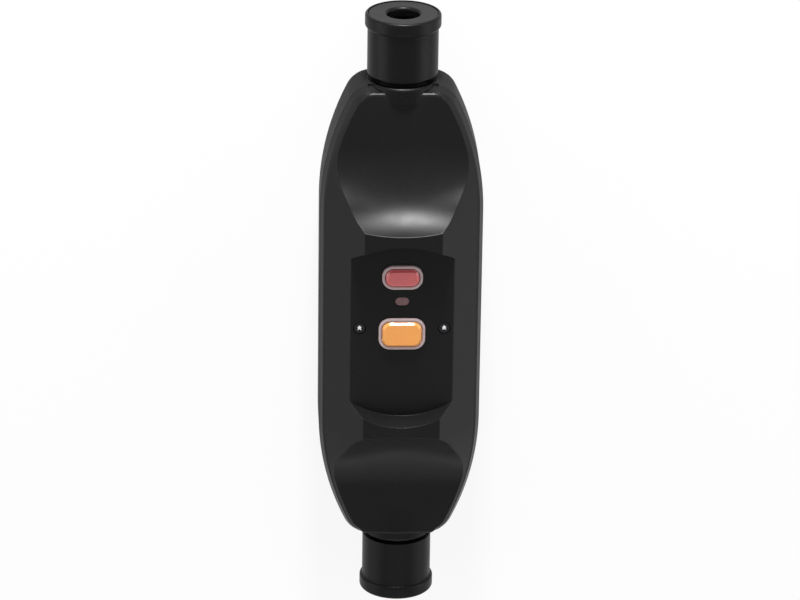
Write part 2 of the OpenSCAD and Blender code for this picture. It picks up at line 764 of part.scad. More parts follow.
module load_conductors() color([0.78, 0.47, 0.3]) for (side = [-1, 1]) {
    r = 1;
    start = reset_y - leg_y - strip_t;
    rod_z = terminal_z + wire_h - 0.65;
    middle = ring_hole / 2;
    route = [[side * pole_x, start, contact_z - 1], [side * pole_x, start - 1.5, contact_z - 1],
        [side * middle, ring_y + ring_len + 1.5, ring_z], [side * middle, ring_y - 1.5, ring_z],
        [side * pole_x, terminal_l / 2 + 5 - terminal_y, rod_z], [side * pole_x, 2 - terminal_y, rod_z]];
    last = len(route) - 2;
    for (i = [0:last]) {
        lap = r / 2 * (route[i + 1] - route[i]) / norm(route[i + 1] - route[i]);
        rod(route[i] - (i > 0 ? lap : 0 * lap), route[i + 1] + (i < last ? lap : 0 * lap), r);
    }
}

// Sliding crossbar with a pocket for each moving contact and the latch nose
module contact_carrier() color([0.35, 0.36, 0.4]) translate([0, reset_y, 0]) difference() {
    union() {
        translate([-carrier_half_x, -carrier_half_y, carrier_z])
            cube([2 * carrier_half_x, 2 * carrier_half_y, carrier_top - carrier_z]);
        across(lever_half - 0.2, latch_nose());
        translate([lever_half + 0.4, 0, carrier_top - 2.4]) cube([2.4, carrier_half_y + 3.2, 1.4]);
    }
    for (x = [-pole_x, pole_x]) translate([x - bridge_w / 2 - 0.3, -10, pocket_z])
        cube([bridge_w + 0.6, 20, bridge_t + 3 + fit]);
}

// Face slope of the catch between the carrier and the lever
catch_rise = 2;
catch_run = 1.4;

function latch_nose() = let (y = carrier_half_y, top = carrier_top)
    [[y - 1, top], [y + 2.4, top], [y + 2.4, top - 0.4], [y + 2.4 - catch_run, top - 0.4 - catch_rise],
        [y - 1, top - 0.4 - catch_rise]];

module moving_contacts() color([0.78, 0.47, 0.3]) translate([0, reset_y, 0]) for (x = [-pole_x, pole_x]) {
    translate([x - bridge_w / 2, -bridge_half, bridge_z]) cube([bridge_w, 2 * bridge_half, bridge_t]);
    for (y = [-pad_y, pad_y])
        translate([x, y, bridge_z + bridge_t / 2]) cylinder(r = pad_r, h = bridge_t / 2 + pad_h);
}

module contact_springs() color("silver") for (x = [-pole_x, pole_x])
    translate([x, reset_y, pocket_z]) coil_spring(1.2, 0.4, 3, bridge_z - pocket_z);

module opening_spring() color("silver") translate([0, reset_y, carrier_top])
    coil_spring(3, 0.5, 2.5, yoke_z - carrier_top);

// Red flag on a riser that stands on the carrier's side arm
module indicator_flag() color([0.75, 0.1, 0.1]) {
    x = lever_half + 0.4;
    y = reset_y + carrier_half_y + 2;
    top = membrane_z - 0.6;
    translate([x, y, carrier_top - 1]) cube([2.4, 1.2, top - carrier_top + 1]);
    translate([-lens_w / 2, y, top - 1]) cube([lens_w / 2 + x + 2.4, lens_y + lens_l / 2 + 0.6 - y, 1]);
}

module sensing_core() color([0.25, 0.3, 0.35]) difference() {
    bar_y(ring_r - 0.4, ring_y + 0.4, ring_len - 0.8, ring_z);
    bar_y(ring_hole, ring_y, ring_len, ring_z);
}

// Fine winding on the upper half of the core
module sensing_winding() color([0.7, 0.4, 0.2]) difference() {
    intersection() {
        bar_y(ring_r, ring_y, ring_len, ring_z);
        translate([-ring_r, ring_y, ring_z + 1]) cube([2 * ring_r, ring_len, ring_r]);
    }
    bar_y(ring_hole - 0.4, ring_y - past, ring_len + 2 * past, ring_z);
    difference() {
        bar_y(ring_r - 0.4, ring_y + 0.4, ring_len - 0.8, ring_z);
        bar_y(ring_hole, ring_y, ring_len, ring_z);
    }
}

module circuit_board() color([0.1, 0.35, 0.18])
    translate([-board_w / 2, board_y, board_z]) cube([board_w, board_l, board_t]);

// Capacitor, control chip and surge disc
module board_components() color([0.2, 0.2, 0.22]) {
    can_r = board_l / 7;
    chip_w = board_w / 5;
    translate([board_w / 2 - 2 * can_r, board_y + board_l - 2 * can_r, board_top])
        cylinder(r = can_r, h = 1.7 * can_r);
    translate([1.5 - board_w / 2 + can_r, board_y + board_l - 3 * can_r, board_top])
        cube([chip_w, 0.8 * chip_w, chip_w / 4]);
    translate([board_w / 2 - chip_w - 1.5, board_y + can_r / 2, board_top])
        cube([chip_w, 0.4 * chip_w, 0.4 * chip_w]);
}

module test_switch() color([0.15, 0.15, 0.16]) translate([0, test_y, board_top]) {
    translate([-2, -2, 0]) cube([4, 4, 3]);
    cylinder(r = 1.3, h = switch_top - board_top);
}

module in_works() {
    translate([0, reset_y, base_top]) children();
}

// Bent steel strip that closes the coil's magnetic path
module solenoid_frame() color([0.7, 0.7, 0.72]) in_works() difference() {
    union() {
        for (y = [solenoid_y, solenoid_y + solenoid_len - 0.8])
            translate([-coil_r, y, 0]) cube([2 * coil_r, 0.8, solenoid_h + coil_r]);
        translate([-coil_r, solenoid_y, 0]) cube([2 * coil_r, solenoid_len, 0.6]);
    }
    bar_y(plunger_r + 0.3, solenoid_y - past, 2, solenoid_h);
}

module solenoid_bobbin() color([0.9, 0.9, 0.85]) in_works() difference() {
    union() {
        for (y = [solenoid_y + 0.8 + fit, solenoid_y + solenoid_len - 1.8 - fit])
            bar_y(coil_r, y, 1, solenoid_h);
        bar_y(plunger_r + 0.9, solenoid_y + 0.8 + fit, solenoid_len - 1.6 - 2 * fit, solenoid_h);
    }
    bar_y(plunger_r + slide, solenoid_y, solenoid_len, solenoid_h);
}

module solenoid_coil() color([0.72, 0.4, 0.2]) in_works() difference() {
    bar_y(coil_r - 0.4, solenoid_y + 1.8 + 2 * fit, solenoid_len - 3.6 - 4 * fit, solenoid_h);
    bar_y(plunger_r + 0.9 + fit, solenoid_y, solenoid_len, solenoid_h);
}

// Iron plunger with a groove that the lever's fork rides in
module plunger() color([0.6, 0.6, 0.62]) in_works() {
    groove = 3;
    front = pivot_y - groove / 2;
    bar_y(plunger_r, front - 1.2, 1.2, solenoid_h);
    bar_y(1.2, front - 0.6, groove + 1.2, solenoid_h);
    bar_y(plunger_r, front + groove, solenoid_y + solenoid_len - 4 - plunger_travel - front - groove, solenoid_h);
    bar_y(plunger_r + 1, collar_y, 0.8, solenoid_h);
}

collar_y = solenoid_y - 3.4;

module plunger_spring() color("silver") in_works()
    translate([0, collar_y + 0.8, solenoid_h]) rotate([-90, 0, 0])
        coil_spring(plunger_r + 0.6, 0.4, 2, solenoid_y - collar_y - 0.8);

// Lever with a pivot boss, a side-open fork and a sloped hook under the carrier's nose
module latch_lever() color([0.55, 0.55, 0.5]) in_works() difference() {
    union() {
        across(lever_half, hook_outline());
        bar_x(1.7, lever_half, pivot_y, pivot_h);
    }
    bar_x(pin_r + 0.05, 10, pivot_y, pivot_h);
    translate([-lever_half + 1.1, pivot_y - 2, solenoid_h - 2.3]) cube([10, 4, 4.6]);
}

function hook_outline() = let (back = pivot_y + lever_t / 2, front = pivot_y - lever_t / 2,
        y = carrier_half_y + 2.6, top = carrier_top - 0.4 - base_top, reach = 0.85)
    [[front, pivot_h], [back, pivot_h], [back, top], [y, top],
        [y - catch_run * reach, top - catch_rise * reach], [y - 0.8, top - 2.4], [front, top - 3.2]];

module latch_pin() color("silver") in_works() bar_x(pin_r, lever_half + 2, pivot_y, pivot_h);

rear_shell();
front_cover();
case_gasket();
case_screws();
button_membrane();
indicator_lens();
panel_screws();
test_button();
test_spring();
reset_button();
reset_spring();
line_gland_spigot();
line_gland_seal();
line_slip_washer();
line_gland_nut();
line_bell_mouth();
load_gland_spigot();
load_gland_seal();
load_slip_washer();
load_gland_nut();
load_bell_mouth();
line_cord_clamp();
load_cord_clamp();
clamp_screws();
mechanism_base();
base_screws();
line_terminals();
load_terminals();
terminal_screws();
earth_link();
line_contacts();
load_contacts();
load_conductors();
contact_carrier();
moving_contacts();
contact_springs();
opening_spring();
indicator_flag();
sensing_core();
sensing_winding();
circuit_board();
board_components();
test_switch();
solenoid_frame();
solenoid_bobbin();
solenoid_coil();
plunger();
plunger_spring();
latch_lever();
latch_pin();
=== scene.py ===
import json
import math
import bpy
import numpy as np
from mathutils import Matrix, Vector
from mathutils.geometry import delaunay_2d_cdt
from mathutils.kdtree import KDTree


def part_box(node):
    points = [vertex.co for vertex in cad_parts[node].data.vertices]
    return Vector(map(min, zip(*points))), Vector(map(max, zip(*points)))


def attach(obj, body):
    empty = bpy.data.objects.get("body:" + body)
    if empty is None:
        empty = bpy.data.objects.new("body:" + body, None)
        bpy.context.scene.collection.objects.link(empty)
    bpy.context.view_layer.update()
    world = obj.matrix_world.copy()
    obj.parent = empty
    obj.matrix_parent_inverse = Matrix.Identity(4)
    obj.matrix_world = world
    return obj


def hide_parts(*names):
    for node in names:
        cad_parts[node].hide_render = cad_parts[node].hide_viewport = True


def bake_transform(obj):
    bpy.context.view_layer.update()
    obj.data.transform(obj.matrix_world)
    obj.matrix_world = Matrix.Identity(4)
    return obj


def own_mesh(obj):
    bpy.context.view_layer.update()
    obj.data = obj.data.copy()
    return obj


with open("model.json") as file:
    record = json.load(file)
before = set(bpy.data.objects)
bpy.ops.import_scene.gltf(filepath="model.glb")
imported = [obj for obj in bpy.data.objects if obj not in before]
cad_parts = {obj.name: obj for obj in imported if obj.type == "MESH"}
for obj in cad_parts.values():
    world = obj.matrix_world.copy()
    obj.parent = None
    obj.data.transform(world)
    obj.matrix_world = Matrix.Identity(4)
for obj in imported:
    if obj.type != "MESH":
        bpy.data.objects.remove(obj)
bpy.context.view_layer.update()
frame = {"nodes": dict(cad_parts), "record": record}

# Lengths below are in millimetres and turn into metres where a mesh is made
MM = 0.001

# Studio
# The unit lies on a pale floor under soft lamps. A wide and a narrow one stand behind the line
# end, a long one stands at each side and a weak one leans over the load end.


class Wire:
    """An output socket; arithmetic on it adds Math nodes to the same tree."""

    def __init__(self, surface, socket):
        self.surface = surface
        self.socket = socket

    def math(self, operation, *values):
        sockets = {i: value for i, value in enumerate(values)}
        return self.surface.node("ShaderNodeMath", {"operation": operation}, sockets)

    def __add__(self, other):
        return self.math("ADD", self, other)

    def __sub__(self, other):
        return self.math("SUBTRACT", self, other)

    def __rsub__(self, other):
        return self.math("SUBTRACT", other, self)

    def __mul__(self, other):
        return self.math("MULTIPLY", self, other)

    def __pow__(self, other):
        return self.math("POWER", self, other)

    def __rpow__(self, other):
        return self.math("POWER", other, self)

    def least(self, other):
        return self.math("MINIMUM", self, other)

    def most(self, other):
        return self.math("MAXIMUM", self, other)

    __radd__ = __add__
    __rmul__ = __mul__


class Surface:
    """A node tree that nodes are added to, with links made from the values they are given."""

    def __init__(self, owner):
        owner.use_nodes = True
        self.owner = owner
        self.tree = owner.node_tree
        self.tree.nodes.clear()

    def node(self, kind, settings, sockets, out=0):
        made = self.tree.nodes.new(kind)
        for name, value in settings.items():
            setattr(made, name, value)
        for name, value in sockets.items():
            socket = self.find(made.inputs, name)
            if isinstance(value, Wire):
                self.tree.links.new(value.socket, socket)
            else:
                socket.default_value = value
        if made.outputs:
            return Wire(self, self.find(made.outputs, out))

    def find(self, sockets, name):
        if isinstance(name, int):
            return sockets[name]
        return next(s for s in sockets if name in (s.identifier, s.name))

    def mix(self, factor, a, b):
        return self.node("ShaderNodeMix", {"data_type": "RGBA"},
                         {"Factor_Float": factor, "A_Color": a, "B_Color": b}, "Result_Color")

    def seen(self):
        """1 for rays that show the background: straight, mirrored or through a clear piece."""
        rays = [self.node("ShaderNodeLightPath", {}, {}, "Is " + kind + " Ray")
                for kind in ("Camera", "Glossy", "Transmission")]
        return (rays[0] + rays[1] + rays[2]).least(1.0)


WHITE = (1, 1, 1, 1)
sky_light = 0.3
floor_half = 4.0
floor_grey = (0.8, 0.8, 0.8, 1)
# The rest of the floor's brightness comes from the lamps, so that the shadow stays on it
floor_glow = 0.88

world = bpy.data.worlds.new("studio")
bpy.context.scene.world = world
sky = Surface(world)
sky_strength = sky_light + sky.seen() * (1 - sky_light)
background = sky.node("ShaderNodeBackground", {}, {"Color": WHITE, "Strength": sky_strength})
sky.node("ShaderNodeOutputWorld", {}, {"Surface": background})

floor_mesh = bpy.data.meshes.new("floor")
floor_corners = [(sx * floor_half, sy * floor_half, 0)
                 for sx, sy in ((-1, -1), (1, -1), (1, 1), (-1, 1))]
floor_mesh.from_pydata(floor_corners, [], [(0, 1, 2, 3)])
floor = bpy.data.objects.new("floor", floor_mesh)
bpy.context.collection.objects.link(floor)
floor_paint = bpy.data.materials.new("floor paint")
paper = Surface(floor_paint)
matt = paper.node("ShaderNodeBsdfDiffuse", {}, {"Color": floor_grey})
glow = paper.node("ShaderNodeEmission", {}, {"Color": WHITE, "Strength": 1.0})
shown = paper.seen() * floor_glow
paper.node("ShaderNodeOutputMaterial", {},
           {"Surface": paper.node("ShaderNodeMixShader", {}, {0: shown, 1: matt, 2: glow})})
floor_mesh.materials.append(floor_paint)


def lamp(name, place, target, width, height, watts):
    """Flat rectangular lamp turned to its target, in metres."""
    light = bpy.data.lights.new(name, "AREA")
    light.shape = "RECTANGLE"
    light.size = width
    light.size_y = height
    light.energy = watts
    holder = bpy.data.objects.new(name, light)
    holder.location = place
    holder.rotation_euler = (Vector(target) - Vector(place)).to_track_quat("-Z", "Y").to_euler()
    bpy.context.collection.objects.link(holder)


lamp("wide line lamp", (0, 0.75, 0.18), (0, 0.05, 0.02), 0.46, 0.32, 2.2)
lamp("narrow line lamp", (0, 0.74, 0.16), (0, 0.05, 0.02), 0.08, 0.18, 13.0)
lamp("left lamp", (-0.8, 0.0, 0.27), (0, 0, 0.02), 0.9, 0.5, 3.2)
lamp("right lamp", (0.8, 0.0, 0.27), (0, 0, 0.02), 0.9, 0.5, 3.2)
lamp("load lamp", (0, -0.6, 0.34), (0, -0.06, 0.02), 0.6, 0.62, 1.5)

# Camera turned from the case's face towards the line end, with the line end up in the picture
axis_height = (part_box("line_gland_nut")[0].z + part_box("line_gland_nut")[1].z) / 2
tilt, lean, roll = math.radians(23.26), math.radians(-2.35), math.radians(0.78)
aim_up, aim_right = 0.0019, 0.0002
camera_distance = 1.45
back = Vector((math.sin(lean), math.sin(tilt) * math.cos(lean), math.cos(tilt) * math.cos(lean)))
up = Vector((0, 1, 0))
up = (up - up.dot(back) * back).normalized()
right = up.cross(back)
up, right = up * math.cos(roll) - right * math.sin(roll), right * math.cos(roll) + up * math.sin(roll)
aim = Vector((0, 0, axis_height)) + up * aim_up + right * aim_right
camera = bpy.data.cameras.new("camera")
camera.lens = 194.9
camera.sensor_width = 36
camera.clip_end = 20
viewer = bpy.data.objects.new("camera", camera)
pose = Matrix((right, up, back)).transposed().to_4x4()
pose.translation = aim + back * camera_distance
viewer.matrix_world = pose
bpy.context.collection.objects.link(viewer)
bpy.context.scene.camera = viewer
bpy.context.scene.view_settings.view_transform = "Standard"

# Rear shell
# Deep black tub moulded in satin plastic that holds everything else. The cover is screwed on to
# it from the back through four sunk holes, and it carries the lower half of each gland collar.
shell_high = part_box("rear_shell")[1] / MM
CASE_HALF_W = shell_high.x
PARTING = shell_high.z
COLLAR_END = shell_high.y
COLLAR_REACH = 0.6
END_Y = COLLAR_END - COLLAR_REACH
END_TAPER = 44
SIDE_FLAT = END_Y - END_TAPER
SIDE_R = 88
SIDE_CX = CASE_HALF_W - SIDE_R
CORNER_R = 9
CORNER_CY = END_Y - CORNER_R
CORNER_TURN = math.asin((CORNER_CY - SIDE_FLAT) / (SIDE_R - CORNER_R))
CORNER_CX = SIDE_CX + (SIDE_R - CORNER_R) * math.cos(CORNER_TURN)
WALL = 2.4
AXIS_Z = axis_height / MM
COLLAR_R = 11.65
NECK_R = 10.15
rear_edge_r = 5
lip_bevel = 0.15
collar_bevel = 0.25
neck_cut = 5
sink_r = 3.1
sink_depth = 5
screw_hole_r = 1.8
post_r = 4.4
post_top = 12
screw_from_end = 22
screw_from_wall = 3.6
case_screw_y = END_Y - screw_from_end
screw_line_r = SIDE_R - WALL - screw_from_wall
case_screw_x = SIDE_CX + math.sqrt(screw_line_r ** 2 - (case_screw_y - SIDE_FLAT) ** 2)
shell_black = (0.009, 0.009, 0.0095, 1)


def soften(mesh, sharp_deg):
    """Smooth shading in which large faces keep their own normal and sharp edges stay sharp."""
    mesh.shade_smooth()
    facing = [face.normal.copy() for face in mesh.polygons]
    around = [[] for _ in mesh.vertices]
    for face in mesh.polygons:
        for i in face.vertices:
            around[i].append(face.index)
    least = math.cos(math.radians(sharp_deg))
    normals = []
    for face in mesh.polygons:
        own = facing[face.index]
        for i in face.vertices:
            near = [f for f in around[i] if facing[f].dot(own) > least]
            weighed = [facing[f] * mesh.polygons[f].area for f in near]
            normals.append(sum(weighed, Vector()).normalized() if near else own)
    mesh.normals_split_custom_set(normals)


def add_piece(node, body, material, form, normals=None, sharp_deg=35):
    """Turns a form into an object that rides a body, takes a material and stands for a CAD node."""
    mesh = form.mesh(node + ".look")
    if normals is None:
        soften(mesh, sharp_deg)
    else:
        mesh.shade_smooth()
        mesh.normals_split_custom_set(normals)
    mesh.materials.append(material)
    piece = bpy.data.objects.new(node + ".look", mesh)
    bpy.context.collection.objects.link(piece)
    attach(piece, body)
    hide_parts(node)
    return piece


def outline(d, side_steps=24, corner_steps=14):
    """Points of the plan outline drawn in by d, anticlockwise from the middle of the right side."""
    side_turns = [CORNER_TURN * i / side_steps for i in range(side_steps + 1)]
    corner_span = math.pi / 2 - CORNER_TURN
    corner_turns = [CORNER_TURN + corner_span * i / corner_steps for i in range(1, corner_steps + 1)]
    quarter = [(SIDE_CX + (SIDE_R - d) * math.cos(a), SIDE_FLAT + (SIDE_R - d) * math.sin(a))
               for a in side_turns]
    quarter += [(CORNER_CX + (CORNER_R - d) * math.cos(a), CORNER_CY + (CORNER_R - d) * math.sin(a))
                for a in corner_turns]
    half = quarter + [(-x, y) for x, y in reversed(quarter)]
    return half + [(-x, -y) for x, y in half]


def inside_loop(x, y, loop):
    """Which plan points lie inside a convex loop."""
    kept = np.ones(len(x), bool)
    for (ax, ay), (bx, by) in zip(loop, loop[1:] + loop[:1]):
        kept &= (bx - ax) * (y - ay) - (by - ay) * (x - ax) > -1e-9
    return kept


class Solid:
    """Vertices and faces of a closed form that is put together from rings and flat plates."""

    def __init__(self):
        self.vertices = []
        self.faces = []

    def mesh(self, name):
        mesh = bpy.data.meshes.new(name)
        mesh.from_pydata([(x * MM, y * MM, z * MM) for x, y, z in self.vertices], [], self.faces)
        return mesh

    def ring(self, points):
        first = len(self.vertices)
        self.vertices.extend(points)
        return list(range(first, len(self.vertices)))

    def bridge(self, a, b):
        count = len(a)
        self.faces.extend((a[i - 1], a[i], b[i], b[i - 1]) for i in (*range(1, count), 0))

    def sleeve(self, rings):
        rings = [self.ring(points) for points in rings]
        for a, b in zip(rings, rings[1:]):
            self.bridge(a, b)
        return rings

    def closed(self, rings):
        rings = self.sleeve(rings)
        self.faces += [tuple(rings[0][::-1]), tuple(rings[-1])]

    def plate(self, rings, upward):
        """Flat face between an outer ring and the rings of its holes, on their own vertices."""
        points, edges, owners = [], [], []
        for ring in rings:
            first = len(points)
            points.extend(Vector(self.vertices[i][:2]) for i in ring)
            owners.extend(ring)
            edges.extend((first + i, first + (i + 1) % len(ring)) for i in range(len(ring)))
        found = delaunay_2d_cdt(points, edges, [], 1, 1e-6)
        triangles = np.array([[owners[found[3][i][0]] for i in face] for face in found[2]])
        for hole in rings[1:]:
            loop = [self.vertices[i][:2] for i in hole]
            centres = np.array(self.vertices)[triangles].mean(axis=1)
            triangles = triangles[~inside_loop(centres[:, 0], centres[:, 1], loop)]
        for corners in triangles.tolist():
            a, b, c = (Vector(self.vertices[i][:2]) for i in corners[:3])
            if ((b - a).cross(c - a) > 0) != upward:
                corners.reverse()
            self.faces.append(tuple(corners))


def carve(piece, steps):
    """Adds forms to a piece and cuts forms out of it, in the order that they are listed."""
    tools = []
    for operation, form in steps:
        tool = bpy.data.objects.new("tool", form.mesh("tool"))
        bpy.context.collection.objects.link(tool)
        cut = piece.modifiers.new("carve", "BOOLEAN")
        cut.operation = operation
        cut.solver = "EXACT"
        cut.object = tool
        tools.append(tool)
    bpy.context.view_layer.update()
    carved = piece.evaluated_get(bpy.context.evaluated_depsgraph_get())
    made = bpy.data.meshes.new_from_object(carved)
    piece.modifiers.clear()
    piece.data = made
    soften(made, 35)
    for tool in tools:
        bpy.data.objects.remove(tool)


def circle(x, y, z, r, steps=40):
    turns = [2 * math.pi * i / steps for i in range(steps)]
    return [(x + r * math.cos(a), y + r * math.sin(a), z) for a in turns]


def at_height(points, z):
    return [(x, y, z) for x, y in points]


def coordinates(surface):
    """Place on the piece in millimetres."""
    place = surface.node("ShaderNodeTexCoord", {}, {}, "Object")
    return surface.node("ShaderNodeVectorMath", {"operation": "SCALE"},
                        {"Vector": place, "Scale": 1 / MM})


def noise(surface, place, size, detail=2.0):
    """Cloudy value from 0 to 1 whose blobs are about size millimetres across."""
    return surface.node("ShaderNodeTexNoise", {},
                        {"Vector": place, "Scale": 1 / size, "Detail": detail}, "Fac")


def cells(surface, place, size):
    """Distance to the nearest of scattered points that are about size millimetres apart."""
    return surface.node("ShaderNodeTexVoronoi", {}, {"Vector": place, "Scale": 1 / size}, "Distance")


def shade(colour, scale, lift=0.0):
    """A colour made darker or paler, for the other end of a mix."""
    return tuple(min(1, c * scale + lift) for c in colour[:3]) + (1,)


def finish_surface(surface, colour, roughness, height, bump, constants):
    """Principled surface with its varying colour, roughness and relief, and constant sockets."""
    sockets = {"Base Color": colour, "Roughness": roughness}
    if height is not None:
        sockets["Normal"] = surface.node("ShaderNodeBump", {},
                                         {"Height": height, "Distance": bump * MM, "Strength": 1.0})
    sockets.update(constants)
    shader = surface.node("ShaderNodeBsdfPrincipled", {}, sockets)
    surface.node("ShaderNodeOutputMaterial", {}, {"Surface": shader})
    return surface.owner


def moulded(name, colour, roughness, grain=0.35, bump=0.012, mottle=0.12, shine=0.5):
    """Moulded plastic: spark-eroded grain, faint flow clouds, worn-smooth patches and dust specks."""
    surface = Surface(bpy.data.materials.new(name))
    place = coordinates(surface)
    clouds = noise(surface, place, 14, 3)
    grains = noise(surface, place, grain, 3)
    pits = cells(surface, place, grain * 1.6)
    wear_and_highlight = noise(surface, place, 5, 4)
    specks = ((0.16 - cells(surface, place, 2.3)) * 20).most(0.0).least(1.0)
    body = surface.mix(clouds, shade(colour, 1 - mottle), shade(colour, 1 + mottle, 0.0006))
    body = surface.mix(specks * wear_and_highlight * 0.22, body, shade(colour, 0.8, 0.03))
    rough = roughness + (grains - 0.5) * 0.1 + (wear_and_highlight - 0.5) * 0.12
    relief = grains + pits * 0.6
    return finish_surface(surface, body, rough, relief, bump, {"Specular IOR Level": shine})


tub = Solid()
bottom = [(rear_edge_r * (1 - math.cos(a)), rear_edge_r * (1 - math.sin(a)))
          for a in (math.pi / 2 * i / 8 for i in range(9))]
lip = [(PARTING - lip_bevel, 0), (PARTING, lip_bevel)]
outside = tub.sleeve([at_height(outline(d), z) for z, d in bottom + lip])
inside = tub.sleeve([at_height(outline(WALL), z) for z in (PARTING, WALL)])
tub.bridge(outside[-1], inside[0])
tub.faces.append(tuple(outside[0][::-1]))
tub.faces.append(tuple(inside[-1]))
posts, sinks = Solid(), Solid()
for x, y in [(sx * case_screw_x, sy * case_screw_y) for sx in (-1, 1) for sy in (-1, 1)]:
    posts.closed([circle(x, y, WALL / 2, post_r), circle(x, y, post_top, post_r)])
    sinks.closed([circle(x, y, -1, sink_r), circle(x, y, sink_depth, sink_r),
                  circle(x, y, sink_depth, screw_hole_r), circle(x, y, post_top + 1, screw_hole_r)])
necks, collars = Solid(), Solid()
full_turn = [2 * math.pi * i / 64 for i in range(64)]
lower_turn = [math.pi * (1 + i / 40) for i in range(41)]
collar_profile = [(COLLAR_R, END_Y - WALL / 2), (COLLAR_R, COLLAR_END - collar_bevel),
                  (COLLAR_R - collar_bevel, COLLAR_END)]
for side in (-1, 1):
    necks.closed([[(NECK_R * math.cos(a), side * y, AXIS_Z - side * NECK_R * math.sin(a))
                   for a in full_turn] for y in (END_Y - neck_cut, END_Y + neck_cut)])
    rings = []
    for r, y in collar_profile:
        bow = [(r * math.cos(a), side * y, AXIS_Z + r * math.sin(a)) for a in lower_turn]
        rings.append(([(-r, side * y, PARTING)] + bow + [(r, side * y, PARTING)])[::-side])
    collars.closed(rings)
shell_plastic = moulded("satin black shell", shell_black, 0.36, shine=0.006)
shell = add_piece("rear_shell", "case", shell_plastic, tub)
carve(shell, [("UNION", posts), ("UNION", collars), ("DIFFERENCE", sinks), ("DIFFERENCE", necks)])

# Case works
# Everything that the closed case hides, put in from the base up: gasket, screws, mechanism base,
# terminals, contacts, sensing ring, board, solenoid and latch. They keep the CAD forms.
works_tones = {
    "works_plastic": ((0.62, 0.58, 0.48, 1), 0.5),
    "carrier_plastic": ((0.09, 0.1, 0.13, 1), 0.45),
    "core_case": ((0.05, 0.07, 0.1, 1), 0.4),
    "component_body": ((0.03, 0.03, 0.035, 1), 0.38),
}
metal_tones = {
    "screw_steel": ((0.55, 0.55, 0.56, 1), 0.32),
    "spring_steel": ((0.5, 0.5, 0.5, 1), 0.28),
    "brass": ((0.72, 0.5, 0.19, 1), 0.3),
    "copper": ((0.72, 0.36, 0.2, 1), 0.3),
    "soft_iron": ((0.42, 0.42, 0.43, 1), 0.42),
}
# Head colour of the panel screws and the colour of their painted highlight
screw_black, screw_highlight = (0.02, 0.02, 0.022, 1), (0.85, 0.85, 0.86, 1)
seal_black = (0.02, 0.02, 0.021, 1)
enamel = (0.42, 0.13, 0.05, 1)
board_greens = (0.012, 0.07, 0.03, 1), (0.02, 0.11, 0.05, 1), (0.05, 0.2, 0.07, 1)
flag_red = (0.5, 0.02, 0.025, 1)
gland_black = (0.0022, 0.0022, 0.0024, 1)
panel_screw_r = 1.8


def metal(name, colour, roughness):
    """Drawn or turned metal: fine streaks along the piece, tarnish clouds and small nicks."""
    surface = Surface(bpy.data.materials.new(name))
    place = coordinates(surface)
    stretched = surface.node("ShaderNodeVectorMath", {"operation": "MULTIPLY"},
                             {0: place, 1: (1.0, 0.08, 1.0)})
    streaks = noise(surface, stretched, 0.12, 2)
    tarnish = noise(surface, place, 3.5, 4)
    nicks = ((0.12 - cells(surface, place, 1.1)) * 30).most(0.0).least(1.0)
    body = surface.mix((tarnish - 0.35) * 1.4, colour, shade(colour, 0.62))
    rough = roughness + (streaks - 0.5) * 0.14 + (tarnish - 0.5) * 0.2
    return finish_surface(surface, body, rough, streaks - nicks * 0.5, 0.008, {"Metallic": 1.0})


def screw_with_painted_highlight(name, head_tone, steel):
    """Black screw heads with a painted highlight: the middle of each head is painted bright steel."""
    surface = Surface(bpy.data.materials.new(name))
    place = coordinates(surface)
    x = surface.node("ShaderNodeSeparateXYZ", {}, {"Vector": place}, "X")
    y = surface.node("ShaderNodeSeparateXYZ", {}, {"Vector": place}, "Y")
    low, high = (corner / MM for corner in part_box("panel_screws"))
    off_x = x.most(0 - x) - (high.x - panel_screw_r)
    off_y = y - (low.y + high.y) / 2
    from_axis = (off_x ** 2 + off_y ** 2) ** 0.5
    scuffs = noise(surface, place, 0.25, 3)
    # Painted highlight: the colour turns to bright steel round the middle of each head
    wear_and_highlight = ((0.5 + scuffs * 0.6 - from_axis) * 3).most(0.0).least(1.0)
    body = surface.mix(wear_and_highlight, head_tone, steel)
    return finish_surface(surface, body, 0.5 - wear_and_highlight * 0.15, scuffs, 0.01, {"Metallic": 1.0})


def rubber(name, colour, roughness):
    """Soft moulding: matt bloom in clouds over a fine, low grain."""
    surface = Surface(bpy.data.materials.new(name))
    place = coordinates(surface)
    bloom = noise(surface, place, 2.2, 4)
    grains = noise(surface, place, 0.25, 2)
    body = surface.mix(bloom, colour, shade(colour, 1.25, 0.004))
    return finish_surface(surface, body, roughness + (bloom - 0.5) * 0.18, grains, 0.01, {})


def wound(name, colour):
    """Enamelled wire in close turns, each a low ridge with painted shade darkening into the groove
    beside it.
    """
    surface = Surface(bpy.data.materials.new(name))
    place = coordinates(surface)
    turns = surface.node("ShaderNodeTexWave", {"wave_type": "BANDS", "bands_direction": "Y"},
                         {"Vector": place, "Scale": 0.9, "Distortion": 0.4, "Detail": 1.0}, "Fac")
    clouds = noise(surface, place, 1.5, 3)
    # Painted shade: the colour darkens towards the groove between turns
    body = surface.mix(turns.least(1.0) * 0.7 + clouds * 0.3, shade(colour, 0.35), colour)
    return finish_surface(surface, body, 0.22 + clouds * 0.16, turns, 0.05, {"Coat Weight": 0.5})


def laminate(name, valley, lacquer, track):
    """Glass-cloth board: green lacquer over a square weave, with paler tracks under it."""
    surface = Surface(bpy.data.materials.new(name))
    place = coordinates(surface)
    across, along = (surface.node("ShaderNodeTexWave", {"wave_type": "BANDS", "bands_direction": way},
                                  {"Vector": place, "Scale": 0.6}, "Fac") for way in "XY")
    tracks = ((noise(surface, place, 4, 0) - 0.52) * 18).most(0.0).least(1.0)
    body = surface.mix(tracks * 0.6, surface.mix(across * along, valley, lacquer), track)
    return finish_surface(surface, body, 0.3 + across * 0.1, across * along + tracks, 0.02, {})


